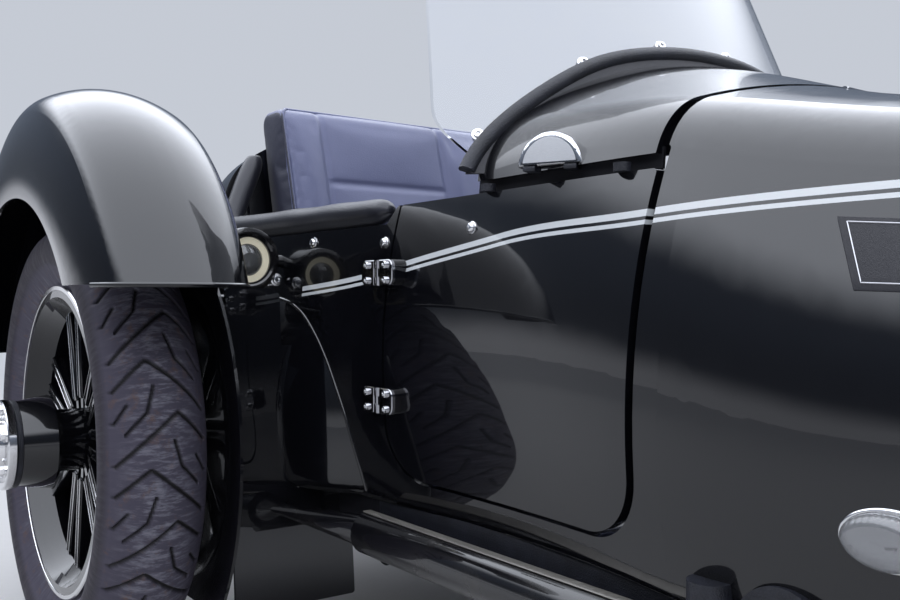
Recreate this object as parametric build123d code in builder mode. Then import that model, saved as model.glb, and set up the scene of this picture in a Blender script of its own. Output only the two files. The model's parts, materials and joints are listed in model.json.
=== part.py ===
from build123d import *
from math import atan2, cos, degrees, radians, sin, sqrt, tan
import os

# Motorcycle sidecar: a moulded body with a side door, a tilting cowl and a boot lid,
# carried on a tube chassis with one sprung wheel under a deep fender.
# Millimetres. X runs forward, Y runs inboard towards the motorcycle, Z is up.
# It is drawn with X = 0 at the axle, Y = 0 in the middle of the tyre and Z = 0 on the ground,
# and each finished piece is then moved so that the lower rear mount is the origin.

# Fits
running_gap = 0.3  # between pieces that lie against each other
pin_play = 0.05  # between a pin and its bore, on the radius
panel_gap = 4  # round the door
lid_gap = 6

# Body
body_y = 580  # centreline of the body
wall = 20  # body, door, cowl and lid are all this thick
rim_z = 612  # top of the cockpit sides beside the seat
door_top_z = 634
bulkhead_foot = (-50, 430)  # front face of the wall behind the seat, where the cushion's top meets it
bulkhead_rake = 13.5  # degrees
nose_split_x = 900  # joint between the tub and the nose

# Bulge low on the body's outer side, behind the door: part of a ball
hip_x = 190
hip_z = 335
hip_r = 385
hip_reach = 425  # from the body's centreline
hip_edge_r = 24

# Door
door_rear_x = 470
door_front_x = 868
door_slant = 6  # the front edge leans forward by this much at the top
door_bottom_z = 312
door_front_gap = 9
door_corner = 60
door_hinge_z = (402, 552)
hinge_height = 30
hinge_leaf = 34
leaf_corner = 9
knuckle_r = 5
hinge_pin_r = 2.5

# Cowl and windscreen
cowl_bottom_z = 648
cowl_seam_x = 868
seam_gap = 12
cowl_hinge_half = 60
seam_knuckle_r = 4.5
seam_pin_r = 2
screen_rake = 24  # the glass leans back by this many degrees
screen_r = 620
screen_x = 640  # middle of the glass at screen_z
screen_z = 840
screen_thick = 4
flange_thick = 8
rubber_r = 10

# Boot lid
lid_x = -215
lid_long = 245
lid_half = 190
lid_corner = 45
lid_hinge_half = 50

# Wheel
axle_z = 320
tyre_r = 320
tyre_half = 66
rim_r = 216
rim_half = 48
hub_r = 44
hub_half = 60
axle_r = 12.5
spoke_pairs = 7

# Fender
fender_x = 20
fender_z = 389
fender_y = -6
fender_wall = 5
arch_r = 340
fender_front_z = 537
fender_rear_z = 430
skirt_y = 84
skirt_thick = 4
skirt_r = 338
skirt_bottom_z = 115

# Chassis
rail_r = 26
rail_wall = 3
rail_z = 240
outer_rail_y = 205
inner_rail_y = 905
outer_rail_x = (440, 1150)
inner_rail_x = (-370, 1150)
cross_r = 20
cross_x = (-330, 475, 1040)
cross_z = 228
arm_y = 148  # middle plane of the swinging arm
arm_r = 19

# Mounts to the motorcycle
lower_mount_x = (-160, 900)
lower_mount_y = 1010
lower_mount_z = 232
lower_mount_long = 40
upper_mount_x = (60, 700)
upper_mount_y = 1075
upper_mount_z = 612
upper_mount_long = 30
mount_bore_r = 8
mount_eye_r = 20
strut_r = 12.5

# One row for each station along the body: x, then half widths at the bottom, waist and shoulder,
# then heights of the bottom, waist, shoulder and crown, then corner radii at bottom and shoulder
body_stations = [
    (-610, 92, 112, 84, 420, 480, 540, 566, 25, 25),
    (-520, 195, 228, 175, 352, 440, 600, 650, 30, 60),
    (lid_x, 298, 330, 294, 279, 415, 738, 842, 16, 105),
    (0, 340, 366, 328, 269, 410, 730, 848, 14, 150),
    (door_rear_x, 350, 373, 332, 269, 470, 680, 828, 14, 165),
    (cowl_seam_x, 360, 378, 320, 271, 370, 692, 742, 14, 85),
    (1110, 343, 362, 284, 276, 385, 642, 694, 20, 100),
    (1350, 285, 303, 230, 310, 415, 590, 644, 50, 95),
    (1490, 196, 210, 158, 352, 442, 542, 580, 50, 70),
    (1552, 100, 112, 84, 402, 455, 508, 530, 36, 36),
    (1572, 50, 58, 44, 430, 459, 488, 499, 20, 20),
]
keel_z = body_stations[3][4]
crown_z = {row[0]: row[7] for row in body_stations}
waist_half = {row[0]: row[2] for row in body_stations}

# Half of the line where the flange meets the rubber: distance from the middle, then height
rubber_line = [(0, 817), (60, 815), (115, 808), (180, 791), (245, 757), (300, 717), (338, 678), (352, 656)]

# One row for each section round the fender: degrees round its centre from straight ahead, then
# half widths at the bottom, waist and shoulder, heights of the bottom, waist, shoulder and crown
# above that centre, and corner radii at bottom and shoulder
fender_sections = [
    (-12, 80, 94, 72, 215, 320, 396, 418, 20, 36),
    (45, 80, 101, 80, 215, 325, 400, 425, 20, 42),
    (90, 80, 105, 84, 215, 325, 400, 426, 20, 44),
    (135, 80, 101, 80, 215, 325, 400, 425, 20, 42),
    (192, 80, 92, 66, 215, 320, 394, 418, 20, 34),
]


def section(plane, low, waist, shoulder, z_low, z_waist, z_shoulder, z_crown, r_low, r_shoulder):
    """A closed section with a flat bottom, bowed sides and a crowned top, its corners rounded."""
    with BuildSketch(plane) as made:
        with BuildLine():
            Line((-low, z_low), (low, z_low))
            ThreePointArc((low, z_low), (waist, z_waist), (shoulder, z_shoulder))
            ThreePointArc((-low, z_low), (-waist, z_waist), (-shoulder, z_shoulder))
            ThreePointArc((-shoulder, z_shoulder), (0, z_crown), (shoulder, z_shoulder))
        make_face()
        fillet(made.vertices().group_by(Axis.Y)[0], radius=r_low)
        fillet(made.vertices().group_by(Axis.Y)[-1], radius=r_shoulder)
    return made.sketch


def grown(sizes, by):
    """The sizes of the same section with its surface moved out, or in where by is negative."""
    low, waist, shoulder, z_low, z_waist, z_shoulder, z_crown, r_low, r_shoulder = sizes
    crown = z_crown - z_shoulder
    side = Vector(z_shoulder - z_waist, waist - shoulder).normalized()
    top = Vector(2 * shoulder * crown, shoulder**2 - crown**2).normalized()
    corner = (side + top) * (by / (1 + side.dot(top)))
    return (
        low + by,
        waist + by,
        shoulder + corner.X,
        z_low - by,
        z_waist,
        z_shoulder + corner.Y,
        z_crown + by,
        max(r_low + by, 3),
        max(r_shoulder + by, 3),
    )


def body_form(by=0.0):
    """The body's outer form, lofted through every station; the end stations move with the surface."""
    shifts = [-by] + [0] * (len(body_stations) - 3) + [0.8 * by, by]
    with BuildPart() as made:
        for row, shift in zip(body_stations, shifts):
            plane = Plane(origin=(row[0] + shift, body_y, 0), x_dir=(0, 1, 0), z_dir=(1, 0, 0))
            add(section(plane, *grown(row[1:], by)))
        loft()
    return made.part


def fender_form(by=0.0):
    """The fender's form, lofted round its centre."""
    with BuildPart() as made:
        for row in fender_sections:
            turn = radians(row[0])
            plane = Plane(
                origin=(fender_x, fender_y, fender_z),
                x_dir=(0, 1, 0),
                z_dir=(sin(turn), 0, -cos(turn)),
            )
            add(section(plane, *grown(row[1:], by)))
        loft()
    return made.part


def side_prism(points, y_from, y_to, radius=1.0):
    """A side view outline, given as x and z, drawn out from one y to another."""
    with BuildPart() as made:
        with BuildSketch(Plane.XZ.offset(-y_to)):
            with BuildLine():
                FilletPolyline(*points, radius=radius, close=True)
            make_face()
        extrude(amount=y_to - y_from)
    return made.part


def bar(start, end, radius, bore=0.0):
    """A straight round bar or tube between two points."""
    run = Vector(*end) - Vector(*start)
    with BuildPart() as made:
        with BuildSketch(Plane(origin=start, z_dir=run)):
            Circle(radius)
            if bore:
                Circle(bore, mode=Mode.SUBTRACT)
        extrude(amount=run.length)
    return made.part


def block(x, y, z):
    """A box between two x, two y and two z."""
    with BuildPart() as made:
        with BuildSketch(Plane.XY.offset(z[0])):
            with Locations(((x[0] + x[1]) / 2, (y[0] + y[1]) / 2)):
                Rectangle(x[1] - x[0], y[1] - y[0])
        extrude(amount=z[1] - z[0])
    return made.part


lean = radians(screen_rake)
drum_up = Vector(-sin(lean), 0, cos(lean))
drum_out = Vector(cos(lean), 0, sin(lean))
drum_middle = Vector(screen_x, body_y, screen_z) - drum_out * screen_r


def screen_drum(radius):
    """The round drum that the windscreen is bent to, leaning back by the rake."""
    return bar(tuple(drum_middle - drum_up * 500), tuple(drum_middle + drum_up * 700), radius)


def on_drum(y, z, radius):
    """The point of a drum of this radius that lies y from the body's middle, at height z."""
    across = sqrt(radius**2 - y**2)
    along = (z - drum_middle.Z - across * sin(lean)) / cos(lean)
    return drum_middle + drum_up * along + drum_out * across + Vector(0, y, 0)


def hip_form(by=0.0):
    """The bulge low on the body's outer side, behind the door."""
    with BuildPart() as made:
        with Locations((hip_x, body_y - hip_reach + hip_r, hip_z)):
            Sphere(hip_r + by)
        add(
            block((hip_x - hip_r, hip_x + hip_r), (0, body_y - 280), (keel_z + 2 - by, hip_z + hip_r)),
            mode=Mode.INTERSECT,
        )
        low_edges = made.faces().sort_by(Axis.Z)[0].edges().filter_by(GeomType.CIRCLE)
        fillet(low_edges, radius=hip_edge_r + by)
    return made.part


# Shared forms
with BuildPart() as outer_body:
    add(body_form())
    add(hip_form())
outer_form = outer_body.part
with BuildPart() as shell:
    add(outer_form)
    add(body_form(-wall), mode=Mode.SUBTRACT)
    add(hip_form(-wall), mode=Mode.SUBTRACT)

wide = (body_y - 500, body_y + 500)
seam_rear_x = cowl_seam_x - seam_gap / 2
seam_front_x = cowl_seam_x + seam_gap / 2


def bulkhead_x(z, back=0.0):
    """The front face of the wall behind the seat at one height, or a face behind it."""
    return bulkhead_foot[0] - back - (z - bulkhead_foot[1]) * tan(radians(bulkhead_rake))


cockpit_points = [
    (seam_front_x, door_top_z),
    (door_rear_x - 8, door_top_z),
    (door_rear_x - 24, rim_z),
    (bulkhead_x(rim_z), rim_z),
    (bulkhead_x(1000), 1000),
    (seam_front_x, 1000),
]
cockpit_cut = side_prism(cockpit_points, *wide, radius=[1, 8, 8, 40, 1, 1])
bulkhead_points = [
    (bulkhead_x(200), 200),
    (bulkhead_x(1000), 1000),
    (bulkhead_x(1000, wall), 1000),
    (bulkhead_x(200, wall), 200),
]


def door_prism(gap=0.0, front_gap=0.0, top=0.0):
    """The door's side view, grown by its gaps, on the outer side of the body."""
    points = [
        (door_rear_x - gap, door_bottom_z - gap),
        (door_front_x - door_slant + front_gap, door_bottom_z - gap),
        (door_front_x + front_gap, door_top_z + top),
        (door_rear_x - gap, door_top_z + top),
    ]
    return side_prism(points, wide[0], body_y, radius=[door_corner + gap, door_corner + gap, 4, 4])


# Boot lid: its outline is drawn square to the slope of the rear deck
deck_drop = crown_z[lid_x] - crown_z[-520]
deck_slope = degrees(atan2(deck_drop, lid_x + 520))
lid_plane = Plane(
    origin=(lid_x, body_y, crown_z[lid_x] - seam_knuckle_r),
    x_dir=(cos(radians(deck_slope)), 0, sin(radians(deck_slope))),
    z_dir=(-sin(radians(deck_slope)), 0, cos(radians(deck_slope))),
)


def lid_prism(gap=0.0):
    """The lid's outline, grown by its gap, through the rear deck."""
    with BuildPart() as made:
        with BuildSketch(lid_plane.offset(-90)):
            with Locations((-lid_long / 2 - seam_gap / 2, 0)):
                RectangleRounded(lid_long + 2 * gap, 2 * (lid_half + gap), lid_corner + gap)
            if gap:
                Rectangle(seam_gap, 2 * lid_hinge_half + 2)
        extrude(amount=150)
    return made.part


pieces = {}


def keep(name, piece):
    """Names a finished piece."""
    piece.label = name
    pieces[name] = piece


# Tub, with the openings for the cockpit, door and boot, and the wall behind the seat
with BuildPart() as body_tub:
    add(shell.part)
    add(side_prism(bulkhead_points, *wide))
    add(outer_form, mode=Mode.INTERSECT)
    add(block((nose_split_x, 1700), wide, (0, 1000)), mode=Mode.SUBTRACT)
    add(cockpit_cut, mode=Mode.SUBTRACT)
    add(door_prism(panel_gap, door_front_gap, 20), mode=Mode.SUBTRACT)
    add(lid_prism(lid_gap), mode=Mode.SUBTRACT)
keep("body_tub", body_tub.part)

with BuildPart() as nose_shell:
    add(shell.part)
    add(block((nose_split_x, 1700), wide, (0, 1000)), mode=Mode.INTERSECT)
keep("nose_shell", nose_shell.part)

with BuildPart() as door:
    add(shell.part)
    add(door_prism(), mode=Mode.INTERSECT)
keep("door", door.part)

with BuildPart() as boot_lid:
    add(shell.part)
    add(lid_prism(), mode=Mode.INTERSECT)
keep("boot_lid", boot_lid.part)

# Cowl: the body's own form between the glass and the seam, clear of the door's top
with BuildPart() as cowl:
    add(shell.part)
    add(block((480, seam_rear_x), wide, (cowl_bottom_z, 1000)), mode=Mode.INTERSECT)
    add(screen_drum(screen_r), mode=Mode.SUBTRACT)
keep("cowl", cowl.part)

# Windscreen: a flange stands on the cowl, a rubber runs along its top and the glass is behind
flange_line = [(-y, z) for y, z in reversed(rubber_line[1:])] + rubber_line
with BuildPart() as screen_flange:
    with BuildSketch(Plane(origin=(500, body_y, 0), x_dir=(0, 1, 0), z_dir=(1, 0, 0))):
        with BuildLine():
            Spline(*flange_line)
            Line(flange_line[-1], flange_line[0])
        make_face()
    extrude(amount=300)
    add(screen_drum(screen_r + flange_thick), mode=Mode.INTERSECT)
    add(screen_drum(screen_r), mode=Mode.SUBTRACT)
    add(outer_form, mode=Mode.SUBTRACT)
keep("screen_flange", screen_flange.part)

rubber_points = [tuple(on_drum(y, z + 3, screen_r + flange_thick / 2)) for y, z in flange_line]
with BuildPart() as screen_rubber:
    with BuildLine() as rubber_path:
        Spline(*rubber_points)
    with BuildSketch(Plane(origin=rubber_path.line @ 0, z_dir=rubber_path.line % 0)):
        Circle(rubber_r)
    sweep()
    add(screen_drum(screen_r), mode=Mode.SUBTRACT)
    add(screen_flange.part, mode=Mode.SUBTRACT)
    add(outer_form, mode=Mode.SUBTRACT)
    screen_rubber.part = screen_rubber.part.solids().sort_by(SortBy.VOLUME)[-1]
keep("screen_rubber", screen_rubber.part)

glass_outline = [(-325, 655), (-366, 715), (-290, 1170)]
glass_points = glass_outline + [(-y, z) for y, z in reversed(glass_outline)]
with BuildPart() as windscreen:
    with BuildSketch(Plane(origin=(300, body_y, 0), x_dir=(0, 1, 0), z_dir=(1, 0, 0))):
        with BuildLine():
            FilletPolyline(*glass_points, radius=[24, 50, 110, 110, 50, 24], close=True)
        make_face()
    extrude(amount=500)
    add(screen_drum(screen_r - running_gap), mode=Mode.INTERSECT)
    add(screen_drum(screen_r - running_gap - screen_thick), mode=Mode.SUBTRACT)
    add(body_form(1), mode=Mode.SUBTRACT)
keep("windscreen", windscreen.part)

# Half-moon catch on the cowl, just above its lower edge
catch_x = 747
catch_r = 33
catch_thick = 17
with BuildPart() as cowl_catch:
    catch_y = body_y - waist_half[cowl_seam_x] + 40
    with BuildSketch(Plane.XZ.offset(-(catch_y + 20))):
        with Locations((catch_x, cowl_bottom_z + 5)):
            Circle(catch_r)
            with Locations((0, -catch_r / 2)):
                Rectangle(2 * catch_r, catch_r, mode=Mode.SUBTRACT)
    extrude(amount=20 + catch_thick)
    chamfer(cowl_catch.faces().sort_by(Axis.Y)[0].edges(), length=4)
    add(outer_form, mode=Mode.SUBTRACT)
keep("cowl_catch", cowl_catch.part)

# Rubber stops on the door's top edge, under the cowl
stop_x = (640, 832)
stop_r = 8
stop_height = 8
with BuildPart() as door_stops:
    with BuildSketch(Plane.XY.offset(door_top_z)):
        with Locations(*[(x, body_y - 350) for x in stop_x]):
            Circle(stop_r)
    extrude(amount=stop_height)
keep("door_stops", door_stops.part)


def seam_hinge(plane, half, side):
    """Half of a hinge that lies in a seam: side is 1 in front of the seam and -1 behind it."""
    long = 2 * half / 3
    knuckles = (0,) if side < 0 else (-long, long)
    with BuildPart() as made:
        for y in knuckles:
            with BuildSketch(plane_across(plane, y - long / 2 + running_gap)):
                Circle(seam_knuckle_r)
            extrude(amount=long - 2 * running_gap)
            with BuildSketch(plane_across(plane, y - long / 2 + running_gap)):
                with Locations((side * seam_gap / 4, 0)):
                    Rectangle(seam_gap / 2, seam_knuckle_r)
            extrude(amount=long - 2 * running_gap)
        if side < 0:
            with BuildSketch(plane_across(plane, -half)):
                Circle(seam_pin_r + pin_play)
            extrude(amount=2 * half, mode=Mode.SUBTRACT)
        else:
            with BuildSketch(plane_across(plane, -half)):
                Circle(seam_pin_r)
            extrude(amount=2 * half)
    return made.part


def plane_across(plane, y):
    """A plane square to the seam, y along it from the hinge's middle, with its x forward."""
    origin = plane.origin + plane.y_dir * y
    return Plane(origin=origin, x_dir=plane.x_dir, z_dir=plane.y_dir)


cowl_hinge_plane = Plane(origin=(cowl_seam_x, body_y, crown_z[cowl_seam_x] - seam_knuckle_r))
keep("cowl_hinge_base", seam_hinge(cowl_hinge_plane, cowl_hinge_half, 1))
keep("cowl_hinge_leaf", seam_hinge(cowl_hinge_plane, cowl_hinge_half, -1))
keep("boot_hinge_base", seam_hinge(lid_plane, lid_hinge_half, 1))
keep("boot_hinge_leaf", seam_hinge(lid_plane, lid_hinge_half, -1))

# Door hinges: thick leaves stand on the surface, their faces flush with the knuckles between them
hinge_y = body_y - waist_half[door_rear_x] - knuckle_r - 1
knuckle_long = hinge_height / 3
leaf_start = knuckle_r + 0.6


def door_leaf(z_middle, side):
    """One leaf of a door hinge: side is -1 on the body and 1 on the door."""
    bottom = z_middle - hinge_height / 2
    y = (hinge_y - knuckle_r + 0.5, hinge_y + knuckle_r + 16)
    x = sorted((door_rear_x + side * leaf_start, door_rear_x + side * hinge_leaf))
    with BuildPart() as made:
        add(block(x, y, (bottom, bottom + hinge_height)))
        fillet(made.edges().filter_by(Axis.Y).group_by(Axis.X)[-1 if side > 0 else 0], radius=leaf_corner)
        chamfer(made.faces().sort_by(Axis.Y)[0].edges(), length=1)
        for slot in (1,) if side > 0 else (0, 2):
            with BuildSketch(Plane.XY.offset(bottom + slot * knuckle_long + running_gap / 2)):
                with Locations((door_rear_x, hinge_y)):
                    Circle(knuckle_r)
                with Locations((door_rear_x + side * leaf_start / 2, hinge_y)):
                    Rectangle(leaf_start + 1, 2 * knuckle_r - 2)
            extrude(amount=knuckle_long - running_gap)
        add(outer_form, mode=Mode.SUBTRACT)
        with BuildSketch(Plane.XY.offset(bottom)):
            with Locations((door_rear_x, hinge_y)):
                Circle(hinge_pin_r + (pin_play if side > 0 else 0))
        extrude(amount=hinge_height, mode=Mode.SUBTRACT if side > 0 else Mode.ADD)
    return made.part


for name, side in (("door_hinge_bases", -1), ("door_hinge_leaves", 1)):
    with BuildPart() as leaves:
        for z in door_hinge_z:
            add(door_leaf(z, side))
    keep(name, leaves.part)

# Seat: a cushion on the floor and a back against the wall behind it
seat_half = 250
seat_top_z = bulkhead_foot[1]
seat_front_x = 400
floor_z = keel_z + wall + running_gap
back_top_z = 854
back_thick = 92
cushion_points = [
    (bulkhead_x(floor_z, -running_gap), floor_z),
    (seat_front_x, floor_z),
    (seat_front_x, seat_top_z),
    (bulkhead_x(seat_top_z, -running_gap), seat_top_z),
]
back_points = [
    (bulkhead_x(seat_top_z, -running_gap), seat_top_z + running_gap),
    (bulkhead_x(seat_top_z, -back_thick - 18), seat_top_z + running_gap),
    (bulkhead_x(back_top_z, -back_thick), back_top_z),
    (bulkhead_x(back_top_z, -running_gap), back_top_z),
]
for name, points, radius in (
    ("seat_base", cushion_points, [14, 40, 30, 14]),
    ("seat_back", back_points, [14, 20, 32, 24]),
):
    with BuildPart() as seat_part:
        add(side_prism(points, body_y - seat_half, body_y + seat_half, radius=radius))
        fillet(seat_part.faces().filter_by(Axis.Y).edges(), radius=10)
    keep(name, seat_part.part)

# Padded rolls on the rims of the cockpit, which climb the edges of the coaming behind the seat
roll_r = 18
roll_half = waist_half[door_rear_x] - 35
roll_z = rim_z + roll_r + running_gap
roll_ahead = (roll_r + running_gap) / cos(radians(bulkhead_rake))
coaming_half = 272
coaming_z = 770
with BuildPart() as armrest_rolls:
    for side in (-1, 1):
        roll_points = [
            (door_rear_x - 36, body_y + side * roll_half, roll_z),
            (bulkhead_x(roll_z, -roll_ahead), body_y + side * roll_half, roll_z),
            (bulkhead_x(coaming_z, -roll_ahead), body_y + side * coaming_half, coaming_z),
        ]
        with BuildLine() as roll_path:
            FilletPolyline(*roll_points, radius=40)
        with BuildSketch(Plane(origin=roll_points[0], z_dir=(-1, 0, 0))):
            Circle(roll_r)
        sweep(path=roll_path.wires()[0])
keep("armrest_rolls", armrest_rolls.part)

# Wheel
wheel_plane = Plane(origin=(0, 0, axle_z), x_dir=(0, 1, 0), z_dir=(1, 0, 0))
axle_axis = Axis((0, 0, axle_z), (0, 1, 0))
hub_plane = Plane(origin=(0, 0, axle_z), x_dir=(1, 0, 0), z_dir=(0, -1, 0))
spoke_deep = 26
spoke_wide = 10
spoke_apart = 36  # between the two spokes of a pair, halfway out
spoke_splay = 5  # degrees
rim_wall = 6
bead_r = rim_r - 12
bead_top_r = rim_r + 6
bead_half = rim_half - rim_wall - running_gap
spoke_long = bead_r - hub_r - 4
spoke_middle = (bead_r + hub_r) / 2 - 8
shoulder_r = 296
shoulder_half = 54
with BuildPart() as tyre:
    with BuildSketch(wheel_plane):
        with BuildLine():
            Polyline((-bead_half, bead_top_r), (-bead_half, bead_r), (bead_half, bead_r), (bead_half, bead_top_r))
            ThreePointArc((bead_half, bead_top_r), (tyre_half, 268), (shoulder_half, shoulder_r))
            ThreePointArc((shoulder_half, shoulder_r), (0, tyre_r), (-shoulder_half, shoulder_r))
            ThreePointArc((-shoulder_half, shoulder_r), (-tyre_half, 268), (-bead_half, bead_top_r))
        make_face()
    revolve(axis=axle_axis)
keep("tyre", tyre.part)

with BuildPart() as wheel:
    with BuildSketch(wheel_plane):
        with BuildLine():
            Polyline(
                (-rim_half, bead_r),
                (-rim_half, rim_r + 4),
                (-rim_half + 6, rim_r + 4),
                (-rim_half + 6, bead_r),
                (rim_half - 6, bead_r),
                (rim_half - 6, rim_r + 4),
                (rim_half, rim_r + 4),
                (rim_half, bead_r),
                (rim_half - 14, bead_r - rim_wall),
                (14, bead_r - rim_wall - 10),
                (-14, bead_r - rim_wall - 10),
                (-rim_half + 14, bead_r - rim_wall),
                close=True,
            )
        make_face()
    revolve(axis=axle_axis)
    with BuildSketch(hub_plane.offset(-hub_half)):
        Circle(hub_r)
    extrude(amount=2 * hub_half)
    with BuildSketch(hub_plane.offset(-spoke_deep / 2)):
        with PolarLocations(spoke_middle, spoke_pairs):
            for lean_by in (-1, 1):
                with Locations(Location((0, lean_by * spoke_apart / 2, 0), (0, 0, lean_by * spoke_splay))):
                    Rectangle(spoke_long, spoke_wide)
    extrude(amount=spoke_deep)
    with BuildSketch(hub_plane.offset(-hub_half)):
        Circle(axle_r + pin_play)
    extrude(amount=2 * hub_half, mode=Mode.SUBTRACT)
keep("wheel", wheel.part)

# Hub barrel that shows outside the spokes, with a bolted flange at its end
barrel_end = -122
with BuildPart() as hub_barrel:
    with BuildSketch(wheel_plane):
        with BuildLine():
            Polyline(
                (-hub_half, 0),
                (-hub_half, 66),
                (-112, 57),
                (-112, 61),
                (barrel_end, 61),
                (barrel_end, 34),
                (barrel_end - 12, 30),
                (barrel_end - 12, 0),
                close=True,
            )
        make_face()
    revolve(axis=axle_axis)
keep("hub_barrel", hub_barrel.part)

# Fender: a deep shell round the tyre, closed on its inner side by a flat skirt
fender_out = fender_form()
with BuildPart() as fender:
    add(fender_out)
    add(fender_form(-fender_wall), mode=Mode.SUBTRACT)
    add(bar((0, -300, axle_z), (0, 300, axle_z), arch_r), mode=Mode.SUBTRACT)
    add(block((fender_x, 900), (-300, 300), (-100, fender_front_z)), mode=Mode.SUBTRACT)
    add(block((-900, fender_x), (-300, 300), (-100, fender_rear_z)), mode=Mode.SUBTRACT)
    add(block((-900, 900), (skirt_y, 300), (-100, 1000)), mode=Mode.SUBTRACT)
keep("fender", fender.part)

with BuildPart() as skirt_top:
    add(fender_out)
    add(block((-900, 900), (skirt_y, skirt_y + skirt_thick), (fender_rear_z, 1000)), mode=Mode.INTERSECT)
    add(block((fender_x, 900), (-300, 300), (-100, fender_front_z)), mode=Mode.SUBTRACT)
with BuildPart() as inner_skirt:
    add(bar((0, skirt_y, axle_z), (0, skirt_y + skirt_thick, axle_z), skirt_r))
    add(skirt_top.part)
    add(block((-900, 900), (-300, 300), (-100, skirt_bottom_z)), mode=Mode.SUBTRACT)
    add(bar((0, -300, axle_z), (0, 300, axle_z), 46), mode=Mode.SUBTRACT)
keep("inner_skirt", inner_skirt.part)

# Two stays hold the fender's skirt to the body's side
stay_places = ((-130, 560), (120, 520))
with BuildPart() as fender_stays:
    for x, z in stay_places:
        add(bar((x, skirt_y + skirt_thick, z), (x, body_y - 300, z), 8))
        add(bar((x, skirt_y + skirt_thick, z), (x, skirt_y + skirt_thick + 4, z), 18))
    add(outer_form, mode=Mode.SUBTRACT)
keep("fender_stays", fender_stays.part)

# Panel between the wheel and the body, facing forward, narrow beside the hip and wide below it
panel_x = 262
panel_lean = radians(5)
panel_thick = 5
panel_top_z = 535
panel_bottom_z = 122
panel_step_z = 460
panel_y = (skirt_y + skirt_thick + 6, 170, 265)
with BuildPart() as splash_panel:
    with BuildSketch(
        Plane(
            origin=(panel_x, 0, panel_top_z),
            x_dir=(0, 1, 0),
            z_dir=(cos(panel_lean), 0, sin(panel_lean)),
        )
    ):
        with BuildLine():
            step = (panel_step_z - panel_top_z) / cos(panel_lean)
            deep = (panel_bottom_z - panel_top_z) / cos(panel_lean)
            FilletPolyline(
                (panel_y[0], 0),
                (panel_y[1], 0),
                (panel_y[1], step),
                (panel_y[2], step),
                (panel_y[2], deep),
                (panel_y[0], deep),
                radius=[4, 12, 2, 2, 4, 4],
                close=True,
            )
        make_face()
    extrude(amount=panel_thick)
    add(outer_form, mode=Mode.SUBTRACT)
    splash_panel.part = splash_panel.part.solids().sort_by(SortBy.VOLUME)[-1]
keep("splash_panel", splash_panel.part)

# Round lamp between the fender and the body, with a light ring round its lens
lamp_x = 216
lamp_y = 150
lamp_z = 575
lamp_r = 44
lamp_plane = Plane(origin=(0, lamp_y, lamp_z), x_dir=(1, 0, 0), z_dir=(0, -1, 0))
lamp_axis = Axis((0, lamp_y, lamp_z), (1, 0, 0))
ring_outer_r = 31
ring_inner_r = 22


def turned(points, plane, axis):
    """A body of revolution from the outline of half its section."""
    with BuildPart() as made:
        with BuildSketch(plane):
            with BuildLine():
                Polyline(*points, close=True)
            make_face()
        revolve(axis=axis)
    return made.part


with BuildPart() as lamp_housing:
    add(
        turned(
            [
                (lamp_x - 78, 0),
                (lamp_x - 70, 24),
                (lamp_x - 44, lamp_r),
                (lamp_x, lamp_r),
                (lamp_x, ring_outer_r),
                (lamp_x - 12, ring_outer_r),
                (lamp_x - 12, 0),
            ],
            lamp_plane,
            lamp_axis,
        )
    )
    add(bar((lamp_x - 30, lamp_y + 30, lamp_z), (lamp_x - 30, body_y - 300, lamp_z), 9))
    add(outer_form, mode=Mode.SUBTRACT)
    lamp_housing.part = lamp_housing.part.solids().sort_by(Axis.Y)[0]
keep("lamp_housing", lamp_housing.part)
ring_points = [
    (lamp_x - 12, ring_inner_r),
    (lamp_x - 12, ring_outer_r),
    (lamp_x - 4, ring_outer_r),
    (lamp_x - 4, ring_inner_r),
]
keep("lamp_ring", turned(ring_points, lamp_plane, lamp_axis))
lens_points = [
    (lamp_x - 12, 0),
    (lamp_x - 12, ring_inner_r),
    (lamp_x - 6, ring_inner_r),
    (lamp_x + 1, 10),
    (lamp_x + 2, 0),
]
keep("lamp_lens", turned(lens_points, lamp_plane, lamp_axis))

# Marker lamp on the nose's side and tail lamp on the tail
marker_x = 1088
marker_z = 360
marker_long = 32
marker_r = 19
marker_out = 13
with BuildPart() as marker_lamp:
    marker_y = body_y - waist_half[cowl_seam_x] + 11
    with BuildSketch(Plane.XZ.offset(-marker_y - 20)):
        with Locations((marker_x, marker_z)):
            Ellipse(marker_long, marker_r)
    extrude(amount=20 + marker_out)
    fillet(marker_lamp.faces().sort_by(Axis.Y)[0].edges(), radius=marker_out - 4)
    add(outer_form, mode=Mode.SUBTRACT)
keep("marker_lamp", marker_lamp.part)

tail_x = body_stations[0][0]
tail_z = 492
tail_r = 38
tail_plane = Plane(origin=(0, body_y, tail_z), x_dir=(1, 0, 0), z_dir=(0, -1, 0))
tail_axis = Axis((0, body_y, tail_z), (1, 0, 0))
tail_base = [(tail_x, 0), (tail_x, tail_r + 5), (tail_x - 12, tail_r), (tail_x - 12, 0)]
tail_glass = [(tail_x - 12, 0), (tail_x - 12, tail_r - 2), (tail_x - 24, tail_r - 10), (tail_x - 28, 0)]
keep("tail_lamp_base", turned(tail_base, tail_plane, tail_axis))
keep("tail_lens", turned(tail_glass, tail_plane, tail_axis))

# Chassis
outer_rail_ends = [(x, outer_rail_y, rail_z) for x in outer_rail_x]
inner_rail_ends = [(x, inner_rail_y, rail_z) for x in inner_rail_x]
outer_rail_solid = bar(*outer_rail_ends, rail_r)
inner_rail_solid = bar(*inner_rail_ends, rail_r)
for name, ends in (("outer_rail", outer_rail_ends), ("inner_rail", inner_rail_ends)):
    with BuildPart() as rail:
        add(bar(*ends, rail_r, rail_r - rail_wall))
        for end, way in zip(ends, (1, -1)):
            add(bar(end, (end[0] + way * rail_wall, end[1], end[2]), rail_r))
    keep(name, rail.part)

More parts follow.
